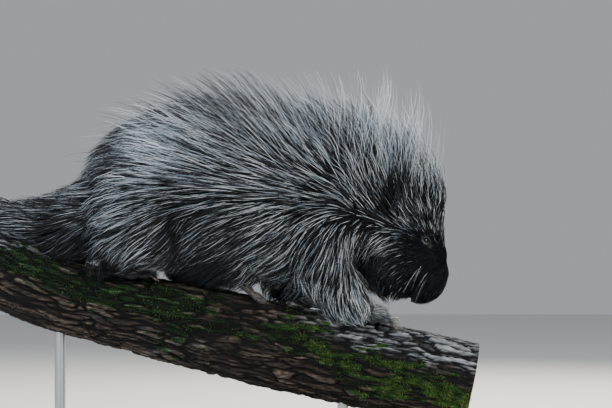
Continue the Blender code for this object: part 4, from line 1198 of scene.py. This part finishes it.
def growWhiskers():
    # stiff pale and dark bristles from the lip pads, swept down and back
    made = newMaterial("whisker, stiff translucent keratin")
    colour = rampNode(made, markNode(made, "shade"), (0.45, "#1a1a1e"), (0.6, "#c4cad2"))
    finishMaterial(made, Base_Color=colour, Roughness=0.35, IOR=1.55)
    tree = readSurface(skin)["tree"]
    share = np.linspace(0, 1, whiskers["rings"])[:, None]
    lines, ups = [], []
    for side in (1, -1):
        for _ in range(whiskers["count"]):
            t = dice.random(2)
            spot = Vector((31.0 + 2.0 * t[0], 3.2 * side, 28.6 + 2.4 * t[1])) * cm
            near, out, _, _ = tree.find_nearest(spot)
            sweep = Vector((-0.75 + 0.4 * dice.random(), 0.4 * side, -0.62 - 0.25 * dice.random())).normalized()
            length = whiskers["length"] * (0.3 + 0.8 * dice.random()) * cm
            lines.append(np.array(near) + (np.array(sweep) * share + whiskers["curl"] * share ** 2) * length)
            ups.append(np.array(out))
    count = len(lines)
    piece = hairMesh("whiskers", np.array(lines), np.array(ups), np.full(count, whiskers["width"] * mm),
                     (1.0, 1.0, 0.9, 0.8, 0.65, 0.5, 0.3), np.full((count, 2), 0.5), {"shade": dice.random(count)})
    place(piece, made, "coat")


quills = {"count": 1500, "rings": 5, "length": 0.62, "uneven": 0.2, "wander": 0.1, "ripple": 0.0, "clump": 0.0,
          "width": 1.7, "taper": (0.6, 1.0, 0.95, 0.6)}


def onRump(points, normals):
    x, z = points[:, 0] / cm, points[:, 2] / cm
    return (np.clip(normals[:, 2] + 0.25, 0, 1) * smoothStep(22, 12, x)
            * (0.15 + np.exp(-((x + 4) ** 2 + (z - 48) ** 2) / 60) + 0.6 * (x < -12)) * (z > 37)) + 1e-9


def growQuills(surface, guides):
    # barbed quills, hollow keratin: ivory with a brown-black point, mostly hidden among the guard hairs
    made = newMaterial("quill, smooth hollow keratin")
    ivory = rampNode(made, markNode(made, "shade"), (0.0, "#8d8a80"), (1.0, "#d8d5c8"))
    point = rangeNode(made, markNode(made, "along"), 0.55, 0.75, kind="SMOOTHSTEP")
    finishMaterial(made, Base_Color=mixNode(made, point, ivory, linearColour("#17120f")), Roughness=0.28, IOR=1.55)
    count = int(quills["count"] * hairShare)
    roots, normals, flat = scatter(surface, count, onRump)
    paths = hairPaths(guides, roots, normals, quills)
    # straighter than hair: halfway to the line on which they leave the skin
    ends = paths[:, -1:] * 0.5 + (paths[:, :1] + (paths[:, 1:2] - paths[:, :1]) * 4) * 0.5
    share = np.linspace(0, 1, quills["rings"])[None, :, None]
    paths = keepOut(paths[:, :1] * (1 - share) + ends * share)
    width = quills["width"] * mm * (0.7 + 0.5 * dice.random(count))
    piece = hairMesh("quills", paths, normals, width, quills["taper"], flat, {"shade": dice.random(count)})
    place(piece, made, "coat")
    print("quills", count)


def finishStand():
    # plain display stand: powder-coated plate and satin steel rods
    coated = speckledMaterial("powder-coated steel, fine orange peel", 420.0, 2.0,
                              ((0.3, "#8f8f8b"), (0.7, "#989893")), 0.25, 0.0004, Roughness=0.48)
    steel = newMaterial("stainless steel rod, brushed round")
    brushed = noiseNode(steel, 1.0, Vector=spotNode(steel, (30.0, 30.0, 2600.0)))
    finishMaterial(steel, Base_Color=linearColour("#b9bbbd"), Metallic=1.0,
                   Roughness=rangeNode(steel, brushed, 0.0, 1.0, 0.24, 0.4),
                   Normal=bumpNode(steel, brushed, 0.15, 0.0002))
    for name, finish in (("stand_base", coated), ("stand_rod_rear", steel), ("stand_rod_front", steel)):
        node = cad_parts[name]
        node.data.materials.clear()
        node.data.materials.append(finish)


makeLids()
makeEars()
makePaws()
growWhiskers()
finishStand()
print("lids, ears, paws, whiskers and stand")


coatLook = {"dark": "#040507", "darkLight": "#12141a", "brown": "#0f0b0e", "brownLight": "#2a2127",
            "pale": "#8394a1", "paleLight": "#f4f9fc", "paleFrom": 0.34, "paleTo": 0.62, "longer": 0.16,
            "rough": 0.45, "shine": 0.4, "onSkin": 0.16}


underLook = dict(coatLook, paleFrom=0.6, paleTo=1.0, rough=0.65, shine=0.15)


def darkPart(material, shade, low=0.0, high=1.0):
    # the coat's black and brown parts, which the skin below shares
    cool = rampNode(material, shade, (low, coatLook["dark"]), (high, coatLook["darkLight"]))
    brown = rampNode(material, shade, (low, coatLook["brown"]), (high, coatLook["brownLight"]))
    return mixNode(material, markNode(material, "warm"), cool, brown)


def coatMaterial(name, look):
    # guard hair: dark keratin with a pale end, which gives the frosted streaks
    made = newMaterial(name)
    along, pale, shade = (markNode(made, mark) for mark in ("along", "pale", "shade"))
    tips = rampNode(made, shade, (0.0, look["pale"]), (1.0, look["paleLight"]))
    longer = mathNode(made, "MULTIPLY_ADD", pale, look["longer"], along)
    start = rangeNode(made, longer, look["paleFrom"], look["paleTo"], kind="SMOOTHSTEP")
    colour = mixNode(made, mathNode(made, "MULTIPLY", start, pale), darkPart(made, shade), tips)
    return finishMaterial(made, Base_Color=colour, Roughness=look["rough"], IOR=1.55,
                          Specular_IOR_Level=look["shine"])


def plant(name, surface, guides, look, material, weightAt):
    # one layer of the coat, parted into pieces along the body
    count = int(look["count"] * hairShare)
    roots, normals, flat = scatter(surface, count, weightAt)
    paths = hairPaths(guides, roots, normals, look)
    clear = offTheEyes(paths)
    roots, normals, flat, paths, count = roots[clear], normals[clear], flat[clear], paths[clear], int(clear.sum())
    pale, depth, warm = coatMarks(roots).T
    picked = (dice.random(count) < pale * look["paleShare"]) * depth
    shade = dice.random(count)
    width = look["width"] * mm * (0.8 + 0.4 * dice.random(count))
    reach = np.linalg.norm(paths[:, -1] - paths[:, 0], axis=1)
    width = np.minimum(width, reach * look["slender"])
    zones = np.digitize(roots[:, 0] / cm, fur["zones"])
    for zone in np.unique(zones):
        here = zones == zone
        piece = hairMesh(f"{name}_{zone}", paths[here], normals[here], width[here], look["taper"], flat[here],
                         {"pale": picked[here], "shade": shade[here], "warm": warm[here]})
        place(piece, material, "coat")
    print(name, count, "hairs")


fur = {
    "guides": 2600,
    "zones": (-16.0, -6.0, 3.0, 12.0, 21.0, 27.5),
    # where hair thins or thickens: x, z, radius, share
    "thin": ((33.0, 30.5, 3.4, 0.02), (31.5, 33.5, 2.0, 0.08), (27.6, 39.8, 1.5, 0.12), (28.0, 43.4, 3.6, 1.8)),
    "eyeGap": 1.2,
    "faceEyeGap": 1.0,
    "nostrilGap": 0.36,
    # lengths are shares of the coat's own length, widths are in mm
    "under": {"count": 21000, "rings": 3, "length": 0.62, "uneven": 0.3, "wander": 0.2, "ripple": 0.02,
              "clump": 0.35, "perClump": 9, "width": 2.4, "slender": 0.12, "taper": (1.0, 0.8), "paleShare": 0.05},
    "guard": {"count": 40000, "rings": 5, "length": 1.0, "uneven": 0.34, "wander": 0.13, "ripple": 0.016,
              "clump": 0.26, "perClump": 6, "width": 0.82, "slender": 0.12, "taper": (0.9, 1.0, 0.9, 0.65),
              "paleShare": 0.85},
    "wisps": {"count": 2600, "rings": 6, "length": 1.0, "uneven": 0.35, "wander": 0.14, "ripple": 0.03,
              "clump": 0.15, "perClump": 5, "width": 0.75, "slender": 0.12, "taper": (0.8, 1.0, 0.95, 0.8, 0.5),
              "paleShare": 2.0},
    "face": {"count": 13000, "rings": 3, "length": 1.0, "uneven": 0.25, "wander": 0.12, "ripple": 0.0,
             "clump": 0.0, "width": 0.55, "slender": 0.1, "taper": (1.0, 0.8), "paleShare": 0.6},
}


def awayFrom(points, spot, gap):
    # true where points keep the gap from a spot and from its mirror image
    return np.all([np.linalg.norm(points - mirrored(spot, side) * cm, axis=1) > gap * cm for side in (1, -1)], 0)


def onBody(points, normals):
    share = np.ones(len(points))
    for x, z, radius, value in fur["thin"]:
        near = np.exp(-(((points[:, 0] / cm - x) ** 2 + (points[:, 2] / cm - z) ** 2) / radius ** 2) ** 2)
        share = share * (1 - near) + value * near
    centres, radii = boughAt(points[:, 0] / cm)
    share *= np.hypot(points[:, 1] / cm, points[:, 2] / cm - centres) > radii - 0.2
    return share * awayFrom(points, eye["centre"], fur["eyeGap"])


def onBack(points, normals):
    x, z = points[:, 0] / cm, points[:, 2] / cm
    return (np.clip(normals[:, 2], 0, 1) ** 1.5 * (x > -14) * (z > 40)
            * (0.04 + np.exp(-((x - 9) / 10) ** 2) + 0.8 * np.exp(-((x - 27) / 5) ** 2))) + 1e-6


def onFace(points, normals):
    x, z = points[:, 0] / cm, points[:, 2] / cm
    share = smoothStep(27.5, 30.5, x) * smoothStep(40.5, 36.5, z)
    share = share * awayFrom(points, eye["centre"], fur["faceEyeGap"])
    return share * awayFrom(points, np.add(nose["nostril"], (0.3, 0, 0)), fur["nostrilGap"]) + 1e-9


def growCoat():
    surface = readSurface(skin)
    roots, normals, _ = scatter(surface, fur["guides"])
    guides = growGuides(surface, roots, normals)
    wild = growGuides(surface, roots, normals, 1.25, 1.4, 0.6)
    print("guides grown")
    underCoat = coatMaterial("underfur, matt dense wool", underLook)
    guardCoat = coatMaterial("guard hair, keratin with pale tips", coatLook)
    plant("underfur", surface, guides, fur["under"], underCoat, onBody)
    plant("guard", surface, guides, fur["guard"], guardCoat, onBody)
    plant("wisps", surface, wild, fur["wisps"], guardCoat, onBack)
    growQuills(surface, guides)
    plant("face_fur", surface, guides, fur["face"], underCoat, onFace)


growCoat()


def finishSkin():
    # bare skin under the wool: near black, with the coat's own dark, brown and pale parts
    made = newMaterial("porcupine hide, matt dark skin")
    shade = noiseNode(made, 400.0, 3.0)
    frost = mathNode(made, "MULTIPLY", markNode(made, "pale"), coatLook["onSkin"])
    colour = mixNode(made, frost, darkPart(made, shade, 0.3, 0.7), linearColour(coatLook["pale"]))
    finishMaterial(made, Base_Color=colour, Roughness=0.6, Normal=bumpNode(made, shade, 0.4, 0.0006), IOR=1.45)
    marks = coatMarks(readPoints(skin))
    setMark(skin, "pale", marks[:, 0] * marks[:, 1])
    setMark(skin, "warm", marks[:, 2])
    place(skin, made, "coat", "tail", "torso", "head", "foreleg_right", "foreleg_left")


def makeEyes():
    # a wet dark eye: brown iris nearly as dark as the pupil, under a clear coat
    made = newMaterial("cornea over dark brown iris, wet gloss")
    finishMaterial(made, Base_Color=rampNode(made, noiseNode(made, 900.0), (0.3, "#030202"), (0.8, "#0c0805")),
                   Roughness=0.12, IOR=1.38, Specular_IOR_Level=0.2, Coat_Weight=0.35, Coat_Roughness=0.02)
    for name, side in (("eye_left", 1), ("eye_right", -1)):
        work = bmesh.new()
        bmesh.ops.create_uvsphere(work, u_segments=40, v_segments=24, radius=eye["radius"] * cm)
        ball = fromWork(name + "_ball", work)
        ball.data.transform(Matrix.Translation(Vector(mirrored(eye["centre"], side)) * cm))
        ball.data.shade_smooth()
        place(ball, made, "eye", name)


finishSkin()
makeEyes()
# the room: pale floor, soft lights, and the camera where the photograph was taken from
studio = {
    "floor": "#d9d8d4",
    "world": "#dfe4ea",
    "worldStrength": 0.5,
    # name, place in metres, size, watts, colour
    "lamps": (("sky", (-0.3, 0.3, 2.6), 1.8, 76, "#eef5ff"), ("front", (1.9, -2.4, 1.6), 1.2, 62, "#fffaf2"),
              ("side", (-1.8, -2.4, 1.5), 1.4, 72, "#e8f1ff"), ("back", (0.9, 2.0, 1.7), 1.0, 90, "#fff6e6")),
    "camera": (0.1465, -4.0, 0.400),
    "lens": 162.3,
    "aim": (0.0, 0.0, 0.38),
    "floorSide": 6.0,
}


def makeStudio():
    side = studio["floorSide"]
    floor = meshObject("floor", [(-side, -side, 0), (side, -side, 0), (side, side, 0), (-side, side, 0)],
                       [(0, 1, 2, 3)])
    finish = newMaterial("painted studio floor, matt")
    colour = rampNode(finish, noiseNode(finish, 60.0), (0.0, "#d3d2ce"), (1.0, studio["floor"]))
    finishMaterial(finish, Base_Color=colour, Roughness=0.8)
    floor.data.materials.append(finish)
    floor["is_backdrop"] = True
    world = bpy.data.worlds.new("studio")
    world.use_nodes = True
    background = world.node_tree.nodes["Background"]
    background.inputs[0].default_value = linearColour(studio["world"])
    background.inputs[1].default_value = studio["worldStrength"]
    bpy.context.scene.world = world
    for name, spot, size, watts, colour in studio["lamps"]:
        lamp = bpy.data.lights.new(name, "AREA")
        lamp.size, lamp.energy, lamp.color = size, watts, linearColour(colour)[:3]
        made = newObject(name, lamp)
        made.location = spot
        made.rotation_euler = (Vector(studio["aim"]) - Vector(spot)).to_track_quat("-Z", "Y").to_euler()
    lens = bpy.data.cameras.new("camera")
    lens.lens, lens.sensor_width = studio["lens"], 36.0
    made = newObject("camera", lens)
    made.location = studio["camera"]
    made.rotation_euler = (math.radians(90), 0, 0)
    bpy.context.scene.camera = made


makeStudio()
sizes = {}
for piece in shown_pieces():
    piece.data.calc_loop_triangles()
    sizes[piece.name] = len(piece.data.loop_triangles)


largest = max(sizes, key=sizes.get)
print("triangles", sum(sizes.values()), "largest piece", largest, sizes[largest])
